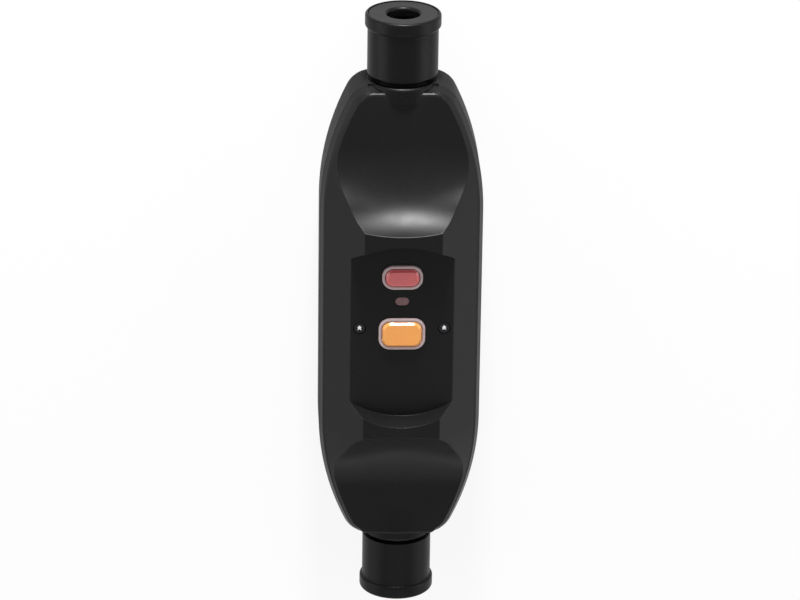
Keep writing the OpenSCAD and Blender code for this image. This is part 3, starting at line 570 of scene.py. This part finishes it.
slot_materials = {slot: moulded(slot.replace("_", " "), tone, rough, 0.5, 0.01)
                  for slot, (tone, rough) in works_tones.items()}
slot_materials.update({slot: metal(slot.replace("_", " "), tone, rough)
                       for slot, (tone, rough) in metal_tones.items()})
# The panel screws take a painted highlight in the middle of each head
slot_materials["panel_screw_steel"] = screw_with_painted_highlight("panel screw steel", screw_black, screw_highlight)
slot_materials["seal_rubber"] = rubber("seal rubber", seal_black, 0.7)
slot_materials["enamelled_wire"] = wound("enamelled wire", enamel)
slot_materials["board_laminate"] = laminate("board laminate", *board_greens)
slot_materials["flag_red"] = moulded("flag red", flag_red, 0.5, 0.5, 0.008)
slot_materials["gland_plastic"] = moulded("gland black", gland_black, 0.38, shine=0.1)
for entry in frame["record"]["subparts"]:
    material = slot_materials.get(entry["material_slot"])
    if material:
        mesh = frame["nodes"][entry["node"]].data
        mesh.materials.clear()
        mesh.materials.append(material)

# Each coil spring gets its own copy of the CAD mesh; one that the moving piece squeezes rides the case,
# the others stay where they stand
for joint in frame["record"]["behaviour"]["joints"]:
    for entry in joint.get("deforming_nodes", []):
        letter = entry["mode"][-1]
        k = "xyz".index(letter)
        low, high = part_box(entry["node"])
        fixed, free = (low + high) / 2, (low + high) / 2
        fixed[k] = entry["fixed_end_" + letter + "_m"]
        free[k] = max(low[k], high[k], key=lambda end: abs(end - fixed[k]))
        pushed_to = free[k] + joint["axis"][k] * joint["range_m"][1]
        left_over = (pushed_to - fixed[k]) / (free[k] - fixed[k])
        spring_mesh = frame["nodes"][entry["node"]].data.copy()
        coil = bpy.data.objects.new(entry["node"] + ".look", spring_mesh)
        bpy.context.collection.objects.link(coil)
        if left_over < 1:
            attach(coil, "case")
            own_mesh(coil)
        else:
            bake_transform(coil)
        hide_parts(entry["node"])

# Glands
# At each end a black sleeve nut screws on to the spigot and squeezes a rubber seal on the cable.
# A paler bell-mouthed disc sits in the nut's open end and travels with it without turning.
bell_grey = (0.0058, 0.0056, 0.0057, 1)
nut_r = 11.65
thread_r = 9.4
bore_r = 6.05
throat_r = 5.35
flange_length = 4.6
pocket_depth = 3.3
pocket_wall = 1
web_depth = 6.3
nut_edge, flange_edge, pocket_edge = 0.3, 0.9, 0.12
bell_edge, throat_edge = 0.25, 1.1
# The painted shade in the throat ends a little inside its rounded edge
throat_shadow = 0.9


def lathe(profile, y_sign, steps=96):
    """Rings round the cable axis from a closed list of radius and place along the axis."""
    turned = Solid()
    turns = [2 * math.pi * i / steps for i in range(steps)]
    rings = [turned.ring([(r * math.cos(a), y_sign * y, AXIS_Z + r * math.sin(a)) for a in turns])
             for r, y in profile]
    rings.append(rings[0])
    for a, b in zip(rings, rings[1:]):
        turned.bridge(*((b, a) if y_sign > 0 else (a, b)))
    return turned


def rounded_corner(r, y, radius, start_deg, end_deg, steps=5):
    turns = [math.radians(start_deg + (end_deg - start_deg) * i / steps) for i in range(steps + 1)]
    return [(r + radius * math.cos(t), y + radius * math.sin(t)) for t in turns]


bell_plastic = moulded("bell mouth grey", bell_grey, 0.5, 0.3, 0.01, shine=0.15)
for end, y_sign in (("line", 1), ("load", -1)):
    low, high = (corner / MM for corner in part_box(end + "_gland_nut"))
    flange_r = high.x
    pocket_r = flange_r - pocket_wall
    nut_start, nut_end = sorted((abs(low.y), abs(high.y)))
    flange_start = nut_end - flange_length
    pocket_floor = nut_end - pocket_depth
    web = nut_end - web_depth
    profile = [(thread_r, nut_start), (nut_r - nut_edge, nut_start)]
    profile += rounded_corner(nut_r - nut_edge, nut_start + nut_edge, nut_edge, -90, 0, 3)[1:]
    profile += rounded_corner(nut_r + nut_edge, flange_start - nut_edge, nut_edge, 180, 90, 3)
    profile += rounded_corner(flange_r - flange_edge, flange_start + flange_edge, flange_edge, -50, 0)
    profile += rounded_corner(flange_r - flange_edge, nut_end - flange_edge, flange_edge, 0, 90)
    profile += rounded_corner(pocket_r + pocket_edge, nut_end - pocket_edge, pocket_edge, 90, 180, 2)
    profile += [(pocket_r, pocket_floor), (bore_r, pocket_floor), (bore_r, web), (thread_r, web)]
    add_piece(end + "_gland_nut", end + "_gland_nut", slot_materials["gland_plastic"],
              lathe(profile, y_sign))

    low, high = (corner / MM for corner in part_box(end + "_bell_mouth"))
    bell_start, bell_end = sorted((abs(low.y), abs(high.y)))
    bell_r = high.x
    profile = [(throat_r, bell_start), (bell_r, bell_start)]
    profile += rounded_corner(bell_r - bell_edge, bell_end - bell_edge, bell_edge, 0, 90, 3)
    profile += rounded_corner(throat_r + throat_edge, bell_end - throat_edge, throat_edge, 90, 180, 6)
    disc = add_piece(end + "_bell_mouth", end + "_bell_mouth", bell_plastic, lathe(profile, y_sign))
    # Painted shade: faces round the throat take the near-black gland plastic
    disc.data.materials.append(slot_materials["gland_plastic"])
    for face in disc.data.polygons:
        from_axis = math.hypot(face.center.x, face.center.z - AXIS_Z * MM)
        face.material_index = from_axis < (throat_r + throat_shadow) * MM

# Buttons
# A sheet of translucent silicone under the panel seals the two keys with a raised collar each.
# The red and orange keys are hard glossy mouldings that slide in the collars on coil springs.
membrane_low, membrane_high = (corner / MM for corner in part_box("button_membrane"))
collar_top = membrane_high.z
sheet_thick = 1.2
sheet_top = membrane_low.z + sheet_thick
sheet_corner = 3
collar_ring = 1.2
collar_edge = 0.35
collar_break = 0.1
key_gap = 0.15
key_corner = 2.6
key_shoulder = 0.95
# The key's flange under the sheet stands out past the key on every side
key_flange = 0.7
flange_thick = 1.2
flange_play = 0.1
# The sheet's holes end inside the collars' walls and stay clear of the pane
hole_under_collar = 0.3
hole_round_pane = 0.2
pane_hole_corner = 1.5
keys = {"test_button": "red_key", "reset_button": "orange_key"}
stem_r = {"test_button": 1.3, "reset_button": 2.0}
key_tones = {"red_key": (0.66, 0.128, 0.132, 1), "orange_key": (0.9, 0.37, 0.08, 1)}
silicone_pink = (0.56, 0.43, 0.44, 1)


def rounded_rect(x, y, w, l, r, z, steps=10):
    """Anticlockwise ring of a rounded rectangle about x, y."""
    ring = []
    for turn, sx, sy in ((0, 1, 1), (90, -1, 1), (180, -1, -1), (270, 1, -1)):
        for i in range(steps + 1):
            a = math.radians(turn + 90 * i / steps)
            ring.append((x + sx * (w / 2 - r) + r * math.cos(a),
                         y + sy * (l / 2 - r) + r * math.sin(a), z))
    return ring


def silicone(name, colour):
    """Milky silicone: light passes a little way in, and dust and skin grease dull it in patches."""
    surface = Surface(bpy.data.materials.new(name))
    place = coordinates(surface)
    smears = noise(surface, place, 1.8, 4)
    grains = noise(surface, place, 0.2, 2)
    body = surface.mix(smears, colour, shade(colour, 0.82))
    return finish_surface(surface, body, 0.42 + (smears - 0.5) * 0.2, grains, 0.006,
                          {"Subsurface Weight": 0.35, "Subsurface Scale": 0.0015,
                           "Subsurface Radius": (1.0, 0.8, 0.7), "Transmission Weight": 0.12})


def glossy_key(name, colour):
    """Glossy thermoplastic with faint flow lines and fine rub marks on the pressed face."""
    surface = Surface(bpy.data.materials.new(name))
    place = coordinates(surface)
    flow = noise(surface, place, 6, 3)
    stretched = surface.node("ShaderNodeVectorMath", {"operation": "MULTIPLY"},
                             {0: place, 1: (0.2, 1.0, 1.0)})
    rubs = noise(surface, stretched, 0.25, 3)
    body = surface.mix(flow, colour, shade(colour, 0.86))
    return finish_surface(surface, body, 0.3 + (rubs - 0.5) * 0.16, rubs, 0.004,
                          {"Subsurface Weight": 0.08, "Subsurface Scale": 0.001, "Coat Weight": 0.15})


membrane = Solid()
sheet_holes = []
for node, slot in keys.items():
    low, high = (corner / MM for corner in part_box(node))
    middle = (low.y + high.y) / 2
    w, l = high.x - low.x - 2 * key_flange, high.y - low.y - 2 * key_flange
    top = high.z
    in_w, in_l, in_r = w + 2 * key_gap, l + 2 * key_gap, key_corner + key_gap
    wall = [(key_gap, membrane_low.z), (collar_ring, membrane_low.z),
            (collar_ring, collar_top - collar_edge),
            (collar_ring - collar_break, collar_top - collar_break),
            (collar_ring - collar_edge, collar_top), (key_gap + collar_edge, collar_top),
            (key_gap + collar_break, collar_top - collar_break), (key_gap, collar_top - collar_edge)]
    rings = membrane.sleeve([rounded_rect(0, middle, w + 2 * d, l + 2 * d, key_corner + d, z)
                             for d, z in wall])
    membrane.bridge(rings[-1], rings[0])
    sheet_holes.append((middle, in_w + 2 * hole_under_collar, in_l + 2 * hole_under_collar,
                        in_r + hole_under_collar))

    flange_z = membrane_low.z - flange_play
    flange_low = flange_z - flange_thick
    shoulder = top - key_shoulder
    # How far each level stands in from the key's side, how much its corner tightens, its height
    levels = [(-2 * key_flange, -key_flange, flange_low), (-2 * key_flange, -key_flange, flange_z),
              (0, 0, flange_z), (0, 0, shoulder)]
    for turn in (math.radians(deg) for deg in (30, 60, 90)):
        levels.append((0.24 * (1 - math.cos(turn)), 0.1, shoulder + 0.12 * math.sin(turn)))
    levels += [(1.3, 0.62, top - 0.1), (1.6, 0.75, top - 0.02), (2.0, 0.9, top)]
    cap = Solid()
    rings = cap.sleeve([rounded_rect(0, middle, w - d, l - d, key_corner - r, z) for d, r, z in levels])
    cap.plate([rings[-1]], True)
    stem = cap.sleeve([circle(0, middle, z, stem_r[node], 24) for z in (low.z, flange_low)])
    cap.plate([stem[0]], False)
    cap.plate([rings[0], stem[1]], False)
    slot_materials[slot] = glossy_key(slot.replace("_", " "), key_tones[slot])
    add_piece(node, node, slot_materials[slot], cap, sharp_deg=50)

lens_low, lens_high = (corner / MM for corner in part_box("indicator_lens"))
lens_y = (lens_low.y + lens_high.y) / 2
lens_size = (lens_high.x - lens_low.x, lens_high.y - lens_low.y)
sheet_holes.append((lens_y, *(size + 2 * hole_round_pane for size in lens_size), pane_hole_corner))
sheet_middle = (membrane_low.y + membrane_high.y) / 2
sheet_size = (membrane_high.x - membrane_low.x, membrane_high.y - membrane_low.y)
plates = []
for z, upward in ((membrane_low.z, False), (sheet_top, True)):
    rings = [membrane.ring(rounded_rect(0, sheet_middle, *sheet_size, sheet_corner, z))]
    rings += [membrane.ring(rounded_rect(0, y, w, l, r, z)) for y, w, l, r in sheet_holes]
    membrane.plate(rings, upward)
    plates.append(rings)
membrane.bridge(plates[0][0], plates[1][0])
for below, above in zip(plates[0][1:], plates[1][1:]):
    membrane.bridge(above, below)
slot_materials["membrane_silicone"] = silicone("membrane silicone", silicone_pink)
add_piece("button_membrane", "case", slot_materials["membrane_silicone"], membrane)

# Indicator window
# A small clear moulding pressed in from behind the panel, with a flange that the panel rests on.
# The red flag on the contact carrier stands under it while the contacts are closed.
window_w, window_l, window_corner = 5.0, 3.2, 1.55
pane_w, pane_l, pane_corner = 4.8, 3.0, 1.45
lens_corner = 1.4
lens_tint = (0.24, 0.09, 0.097, 1)


def clear_plastic(name, tint):
    """Clear moulding with a faint haze and rubbed face."""
    surface = Surface(bpy.data.materials.new(name))
    place = coordinates(surface)
    haze = noise(surface, place, 1.2, 4)
    body = surface.mix(haze, tint, shade(tint, 1, 0.08))
    return finish_surface(surface, body, 0.16 + haze * 0.14, haze, 0.004,
                          {"Transmission Weight": 0.5, "IOR": 1.49})


pane = Solid()
levels = [(*lens_size, lens_corner, lens_low.z), (*lens_size, lens_corner, sheet_top)]
# How far each level stands in from the pane's side, how much its corner tightens, its height
for d, tighter, z in ((0, 0, sheet_top), (0, 0, lens_high.z - 0.25),
                      (0.15, 0.07, lens_high.z - 0.07), (0.5, 0.25, lens_high.z)):
    levels.append((pane_w - d, pane_l - d, pane_corner - tighter, z))
rings = pane.sleeve([rounded_rect(0, lens_y, *level) for level in levels])
pane.plate([rings[0]], False)
pane.plate([rings[-1]], True)
slot_materials["lens_clear"] = clear_plastic("indicator window", lens_tint)
add_piece("indicator_lens", "case", slot_materials["lens_clear"], pane)

# Front cover
# Crowned black moulding that closes the tub: a band and bevel at the parting line, long side facets,
# a thumb dish at each end and the sunk panel with its openings. Screws from the back hold it.
cover_black = (0.0065, 0.0065, 0.0068, 1)
BAND_Z, RIM_Z = PARTING + 2.9, PARTING + 3.5
BAND_IN, RIM_IN = 1.25, 1.85
CREST_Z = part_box("front_cover")[1].z / MM
CREST_HALF = 12.75
CROWN_RISE = 1.0
facet_rise = (CREST_Z - CROWN_RISE - RIM_Z) / (CASE_HALF_W - CREST_HALF - RIM_IN)
DISH_FLOOR = PARTING + 4.5
DISH_RIM = 36.0
DISH_BEND_R = 28
dish_turn = math.acos(1 - (CREST_Z - DISH_FLOOR) / DISH_BEND_R)
# The dish's sides curl up along its wall and lie almost flat on its floor
FLOOR_CURL, WALL_CURL, CURL_RISE = 0.0004, 0.007, 7
LINE_FALL, LINE_FALL_HALF = 0.9, 7
LOAD_CLIMB, LOAD_CLIMB_HALF, LOAD_CLIMB_RUN = 0.7, 6, 12
BLOCK_HALF, BLOCK_R, BLOCK_CORNER = 13.0, 1.2, 3.0
BLOCK_SIDE_STEP, BLOCK_END_STEP = 0.3, 0.06
BLOCK_END = END_Y - 1.2
COLLAR_START = END_Y - 4.9
PANEL_Z = 34.4
PANEL_R, PANEL_LEAN = 30.9, 1.4
# Widths over which the cover's edges are rounded off
CREST_EDGE, DISH_EDGE, PANEL_EDGE, BAND_EDGE, FACET_EDGE = 0.1, 0.15, 0.5, 0.15, 0.08
RIM_GAP = 0.1
# Side, end along the axis, radius there and radius where the collar leaves the cover
collar_sizes = [(-1, COLLAR_END + 1, 11.65, 10.9), (1, COLLAR_END, 12.1, 11.9)]
collar_round = 1.1
collar_play = 0.1
NECK_LENGTH = 8
WALL_LEAST, WALL_MOST = 0.05, 7
panel_screw_hole_r = 2.1
panel_screw_y = 0.8
panel_screw_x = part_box("panel_screws")[1].x / MM - panel_screw_r
screw_places = [(sx * panel_screw_x, panel_screw_y) for sx in (-1, 1)]


def low_blend(a, b, width):
    """Lower of two heights with the edge between them rounded off."""
    h = np.clip(0.5 + 0.5 * (b - a) / width, 0, 1)
    return b + (a - b) * h - width * h * (1 - h)


def inward(x, y):
    """Distance of plan points from the case outline."""
    x, y = np.abs(x), np.abs(y)
    side = SIDE_R - np.hypot(x - SIDE_CX, np.maximum(y - SIDE_FLAT, 0))
    turn = np.arctan2(y - CORNER_CY, x - CORNER_CX)
    corner = CORNER_R - np.hypot(x - CORNER_CX, y - CORNER_CY)
    in_corner = (y > CORNER_CY) & (x > CORNER_CX) & (turn > CORNER_TURN)
    return np.where(in_corner, corner, np.minimum(side, END_Y - y))


def side_form(x, y):
    """Band, bevel and long facet, as a height over the plan."""
    d = inward(x, y)
    band = PARTING + (BAND_Z - PARTING) * (d - RIM_GAP) / (BAND_IN - RIM_GAP)
    rim = low_blend(band, BAND_Z + (d - BAND_IN), BAND_EDGE)
    facet = RIM_Z + (d - RIM_IN) * facet_rise
    return np.where(d > BAND_IN, -low_blend(-rim, -facet, FACET_EDGE), rim)


def crown_form(x, y):
    return CREST_Z - CROWN_RISE * (x / CREST_HALF) ** 2


def hump_form(x, y):
    """Facets and crown without the dishes and the panel."""
    return low_blend(side_form(x, y), crown_form(x, y), CREST_EDGE)


def dish_form(x, y):
    """Concave wall under the crest, curled up at its sides, that runs out into a flat floor. Beside
    the collar the floor falls away at the line end and climbs on to it at the load end."""
    along = np.abs(y)
    reach = DISH_BEND_R * math.sin(dish_turn)
    wall = DISH_BEND_R - np.sqrt(DISH_BEND_R ** 2 - np.clip(along - DISH_RIM - reach, -reach, 0) ** 2)
    wall = wall + np.maximum(DISH_RIM - along, 0) * math.tan(dish_turn)
    curl = np.clip(wall / CURL_RISE, 0, 1)
    sides = x ** 2 * (FLOOR_CURL + WALL_CURL * curl * curl * (3 - 2 * curl))
    fall = np.clip((along - COLLAR_START) / (BLOCK_END - COLLAR_START), 0, 1) ** 2
    fall = fall * np.exp(-(x / LINE_FALL_HALF) ** 2)
    climb = np.clip((along - BLOCK_END + LOAD_CLIMB_RUN) / LOAD_CLIMB_RUN, 0, 1) ** 2
    climb = climb * np.exp(-(x / LOAD_CLIMB_HALF) ** 2)
    return DISH_FLOOR + wall + sides + np.where(y > 0, -LINE_FALL * fall, LOAD_CLIMB * climb)


def panel_form(x, y):
    """Flat panel floor that climbs a steep arc-shaped wall at each end."""
    climb = (np.hypot(x, y) - PANEL_R) * (CREST_Z - PANEL_Z) / PANEL_LEAN
    return PANEL_Z - low_blend(-np.maximum(climb, -9), 0 * climb, PANEL_EDGE)


def cover_top(x, y):
    """Outer skin: the hump with the dishes, the end blocks and the panel cut into it."""
    dish = dish_form(x, y)
    top = low_blend(hump_form(x, y), dish, DISH_EDGE)
    along = np.abs(y)
    past_x, past_y = np.abs(x) - BLOCK_HALF + BLOCK_CORNER, along - BLOCK_END + BLOCK_CORNER
    in_corner = (past_x > 0) & (past_y > 0)
    past = np.maximum(np.hypot(past_x, past_y), 0.01)
    edge_off = np.where(in_corner, BLOCK_CORNER - past, BLOCK_END - along)
    drop = np.clip(BLOCK_R * np.where(in_corner, past_y / past, 1) - edge_off, 0, BLOCK_R)
    block = dish - (BLOCK_R - np.sqrt(BLOCK_R ** 2 - drop ** 2))
    off_side = BLOCK_HALF + BLOCK_SIDE_STEP / 2 - np.abs(x)
    share = np.clip(off_side / BLOCK_SIDE_STEP, 0, 1) * (along > CORNER_CY)
    share = share * np.clip((edge_off + BLOCK_END_STEP / 2) / BLOCK_END_STEP, 0, 1)
    return low_blend(top + (block - top) * share, panel_form(x, y), PANEL_EDGE)


def slope(x, y, step=0.02):
    dx = (cover_top(x + step, y) - cover_top(x - step, y)) / (2 * step)
    dy = (cover_top(x, y + step) - cover_top(x, y - step)) / (2 * step)
    return dx, dy


def crossings(gap, starts, steps, reach):
    """Points where gap(x, y) changes sign on lines from starts along steps, with close neighbours."""
    near = np.zeros(len(starts))
    far = np.full(len(starts), float(reach))
    starts, steps = np.array(starts, float), np.array(steps, float)
    low = gap(*starts.T)
    for _ in range(40):
        half = (near + far) / 2
        same = np.sign(gap(*(starts + steps * half[:, None]).T)) == np.sign(low)
        near, far = np.where(same, half, near), np.where(same, far, half)
    return [tuple(p) for shift in (-0.45, -0.25, -0.1, 0, 0.1, 0.25, 0.45)
            for p in starts + steps * (near + shift)[:, None]]


def dense_outline(d):
    """Plan outline drawn in by d, with points along the straight sides too."""
    ring = outline(d, 60, 24)
    middle = len(ring) // 2
    straight = np.arange(-SIDE_FLAT + 1, SIDE_FLAT, 1.0)
    return ring[:middle] + [(d - CASE_HALF_W, -t) for t in straight] + ring[middle:] + [
        (CASE_HALF_W - d, t) for t in straight]


loops = [dense_outline(RIM_GAP)]
for node in keys:
    low, high = (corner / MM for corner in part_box(node))
    opening = collar_ring + collar_play
    wider = 2 * (opening - key_flange)
    ring = rounded_rect(0, (low.y + high.y) / 2, high.x - low.x + wider, high.y - low.y + wider,
                        key_corner + opening, 0)
    loops.append([p[:2] for p in ring])
loops.append([p[:2] for p in rounded_rect(0, lens_y, window_w, window_l, window_corner, 0)])
loops += [[p[:2] for p in circle(x, y, 0, panel_screw_hole_r)] for x, y in screw_places]

# Plan points: rings at the rim, close rows along every edge of the form, and a grid in between
rims = [p for d in (0.4, 0.8, 1.1, 1.25, 1.4, 1.6, 1.75, 1.85, 1.95, 2.2, 2.6) for p in dense_outline(d)
        if d < 1.15 or abs(p[0]) > BLOCK_HALF + 0.5 or abs(p[1]) < CORNER_CY]
close = []
for sy in (-1, 1):
    # The dish's rim across the crest
    span = [(x, sy * 30.0) for x in np.arange(-13.6, 13.7, 0.4)]
    close += crossings(lambda x, y: dish_form(x, y) - hump_form(x, y), span, [(0, sy)] * len(span), 20)
    # The panel's arc-shaped end, at its top edge and at its foot
    turns = np.radians(np.arange(-34, 34.5, 0.7))
    span = [(0.0, 0.0)] * len(turns)
    rays = [(math.sin(t), sy * math.cos(t)) for t in turns]
    close += crossings(lambda x, y: panel_form(x, y) - np.minimum(crown_form(x, y), side_form(x, y)),
                       span, rays, 40)
    foot = PANEL_R + np.array((-0.5, -0.3, -0.15, 0, 0.1, 0.2, 0.35))
    close += [(r * x, r * y) for x, y in rays for r in foot]
    # The block's rounded end
    for fall in (-0.08, -0.03, 0.03, 0.1, 0.25, 0.5, 0.8, 1.0, 1.2, 1.5):
        close += [(x, sy * (BLOCK_END - fall)) for x in np.arange(-10, 10.1, 0.8)]
        close += [(sx * (BLOCK_HALF - BLOCK_CORNER + (BLOCK_CORNER - fall) * math.cos(t)),
                   sy * (BLOCK_END - BLOCK_CORNER + (BLOCK_CORNER - fall) * math.sin(t)))
                  for sx in (-1, 1) for t in np.radians(np.arange(0, 91, 7.5))]
    # The dish's sides, the crest's sides and the block's sides
    for sx in (-1, 1):
        span = [(sx * 5.0, sy * y) for y in np.arange(37.5, 79, 0.5)]
        close += crossings(lambda x, y: dish_form(x, y) - side_form(x, y), span,
                           [(sx, 0)] * len(span), 23)
        span = [(sx * 9.0, sy * y) for y in np.arange(29, 38, 0.5)]
        close += crossings(lambda x, y: crown_form(x, y) - side_form(x, y), span,
                           [(sx, 0)] * len(span), 8)
        close += [(sx * (BLOCK_HALF + o), sy * y) for o in (-0.3, -0.15, 0, 0.15, 0.3)
                  for y in np.arange(CORNER_CY, BLOCK_END - BLOCK_CORNER, 0.4)]
# The panel's sides
for sx in (-1, 1):
    span = [(sx * 12.0, y) for y in np.arange(-27, 27.1, 0.7)]
    close += crossings(lambda x, y: panel_form(x, y) - side_form(x, y), span, [(sx, 0)] * len(span), 10)
taken = KDTree(len(close))
for i, (x, y) in enumerate(close):
    taken.insert((x, y, 0), i)
taken.balance()
pitch = 1.3
grid = [(x, y) for x in np.arange(0.04 - CASE_HALF_W, CASE_HALF_W, pitch)
        for y in np.arange(0.05 - END_Y, END_Y, pitch) if taken.find((x, y, 0))[2] > 0.6]
points = np.array(close + grid)
kept = inward(*points.T) > 2.9
kept |= (np.abs(points[:, 0]) < BLOCK_HALF + 0.5) & (inward(*points.T) > 0.12)
for loop in loops[1:]:
    middle = np.mean(loop, axis=0)
    kept &= ~inside_loop(*points.T, [tuple(middle + (np.array(p) - middle) * 1.05) for p in loop])
plan = [p for loop in loops for p in loop] + rims + [tuple(p) for p in points[kept]]
edges, first = [], 0
for loop in loops:
    edges += [(first + i, first + (i + 1) % len(loop)) for i in range(len(loop))]
    first += len(loop)
found = delaunay_2d_cdt([Vector(p) for p in plan], edges, [], 1, 1e-5)
plan = np.array([tuple(p) for p in found[0]])
triangles = np.array(found[2])
a, b, c = (plan[triangles[:, i]] for i in range(3))
turned = (b[:, 0] - a[:, 0]) * (c[:, 1] - a[:, 1]) < (b[:, 1] - a[:, 1]) * (c[:, 0] - a[:, 0])
triangles[turned] = triangles[turned][:, ::-1]
centres = plan[triangles].mean(axis=1)
for loop in loops[1:]:
    kept = ~inside_loop(centres[:, 0], centres[:, 1], loop)
    triangles, centres = triangles[kept], centres[kept]

# The inner skin lies a wall's thickness below the outer one, open over the necks
x, y = plan[:, 0], plan[:, 1]
top = cover_top(x, y)
slope_x, slope_y = slope(x, y)
steep = np.sqrt(1 + slope_x ** 2 + slope_y ** 2)
under = top - np.minimum(WALL * steep, WALL_MOST)
neck = (np.abs(y) > END_Y - NECK_LENGTH) & (np.abs(x) < NECK_R)
arch = AXIS_Z + np.sqrt(np.maximum(NECK_R ** 2 - x ** 2, 0))
under = np.where(neck, np.maximum(under, np.minimum(arch, top - WALL_LEAST)), under)
under = np.minimum(np.maximum(under, PARTING), top)
count = len(plan)
cover = Solid()
cover.vertices = [*zip(x, y, top), *zip(x, y, under)]
cover.faces = [tuple(int(i) for i in t) for t in triangles]
# Where the wall runs out to nothing at the rim, both skins share their points
below = np.where(top - under > 0.01, np.arange(count) + count, np.arange(count))
thick = [t for t in triangles if any(below[i] >= count for i in t)]
cover.faces += [tuple(int(below[i]) for i in t[::-1]) for t in thick]
upper = np.stack([-slope_x, -slope_y, np.ones(count)], axis=1) / steep[:, None]
normals = [tuple(upper[i]) for t in triangles for i in t]
normals += [(0.0, 0.0, -1.0)] * (3 * len(thick))
directed = {(int(t[i]), int(t[(i + 1) % 3])) for t in triangles for i in range(3)}
for a, b in sorted(directed):
    if (b, a) not in directed and (below[a] >= count or below[b] >= count):
        wall = tuple(dict.fromkeys((b, a, int(below[a]), int(below[b]))))
        cover.faces.append(wall)
        flat = Vector((y[b] - y[a], x[a] - x[b], 0)).normalized()
        normals += [tuple(flat)] * len(wall)
moulded_faces = len(cover.faces)

# Upper half of each collar, with its outer end rounded
start = math.asin((PARTING - AXIS_Z) / COLLAR_R)
arc = [start + (math.pi - 2 * start) * i / 48 for i in range(49)]
edge = [math.radians(15 * i) for i in range(7)]
outward = [(1, 0)] + [(math.cos(t), math.sin(t)) for t in np.radians(np.arange(7.5, 90, 15))]
outward += [(0, 1), (-1, 0), (0, -1)]
for side, collar_end, collar_r, start_r in collar_sizes:
    profile = [(start_r, COLLAR_START)]
    profile += [(collar_r - collar_round * (1 - math.cos(t)),
                 collar_end - collar_round * (1 - math.sin(t))) for t in edge]
    profile += [(NECK_R, collar_end), (NECK_R, COLLAR_START)]
    strips = [cover.ring([(r * math.cos(a), side * y, AXIS_Z + r * math.sin(a)) for a in arc])
              for r, y in profile]
    strips.append(strips[0])
    for (radial, axial), a, b in zip(outward, strips, strips[1:]):
        for i in range(len(arc) - 1):
            quad = (a[i], a[i + 1], b[i + 1], b[i])
            turns = (arc[i], arc[i + 1], arc[i + 1], arc[i])
            if side > 0:
                quad, turns = quad[::-1], turns[::-1]
            cover.faces.append(quad)
            normals += [(radial * math.cos(t), side * axial, radial * math.sin(t)) for t in turns]
    for end in (0, -1):
        cap = [strip[end] for strip in strips[:-1]]
        cover.faces.append(tuple(cap if (end == 0) != (side > 0) else cap[::-1]))
        normals += [(0.0, 0.0, -1.0)] * len(cap)
slot_materials["cover_plastic"] = moulded("satin black cover", cover_black, 0.32, shine=0.09)
lid = add_piece("front_cover", "case", slot_materials["cover_plastic"], cover, normals)
# The collars take the glands' darker plastic as painted shade
lid.data.materials.append(slot_materials["gland_plastic"])
for face in lid.data.polygons[moulded_faces:]:
    face.material_index = 1
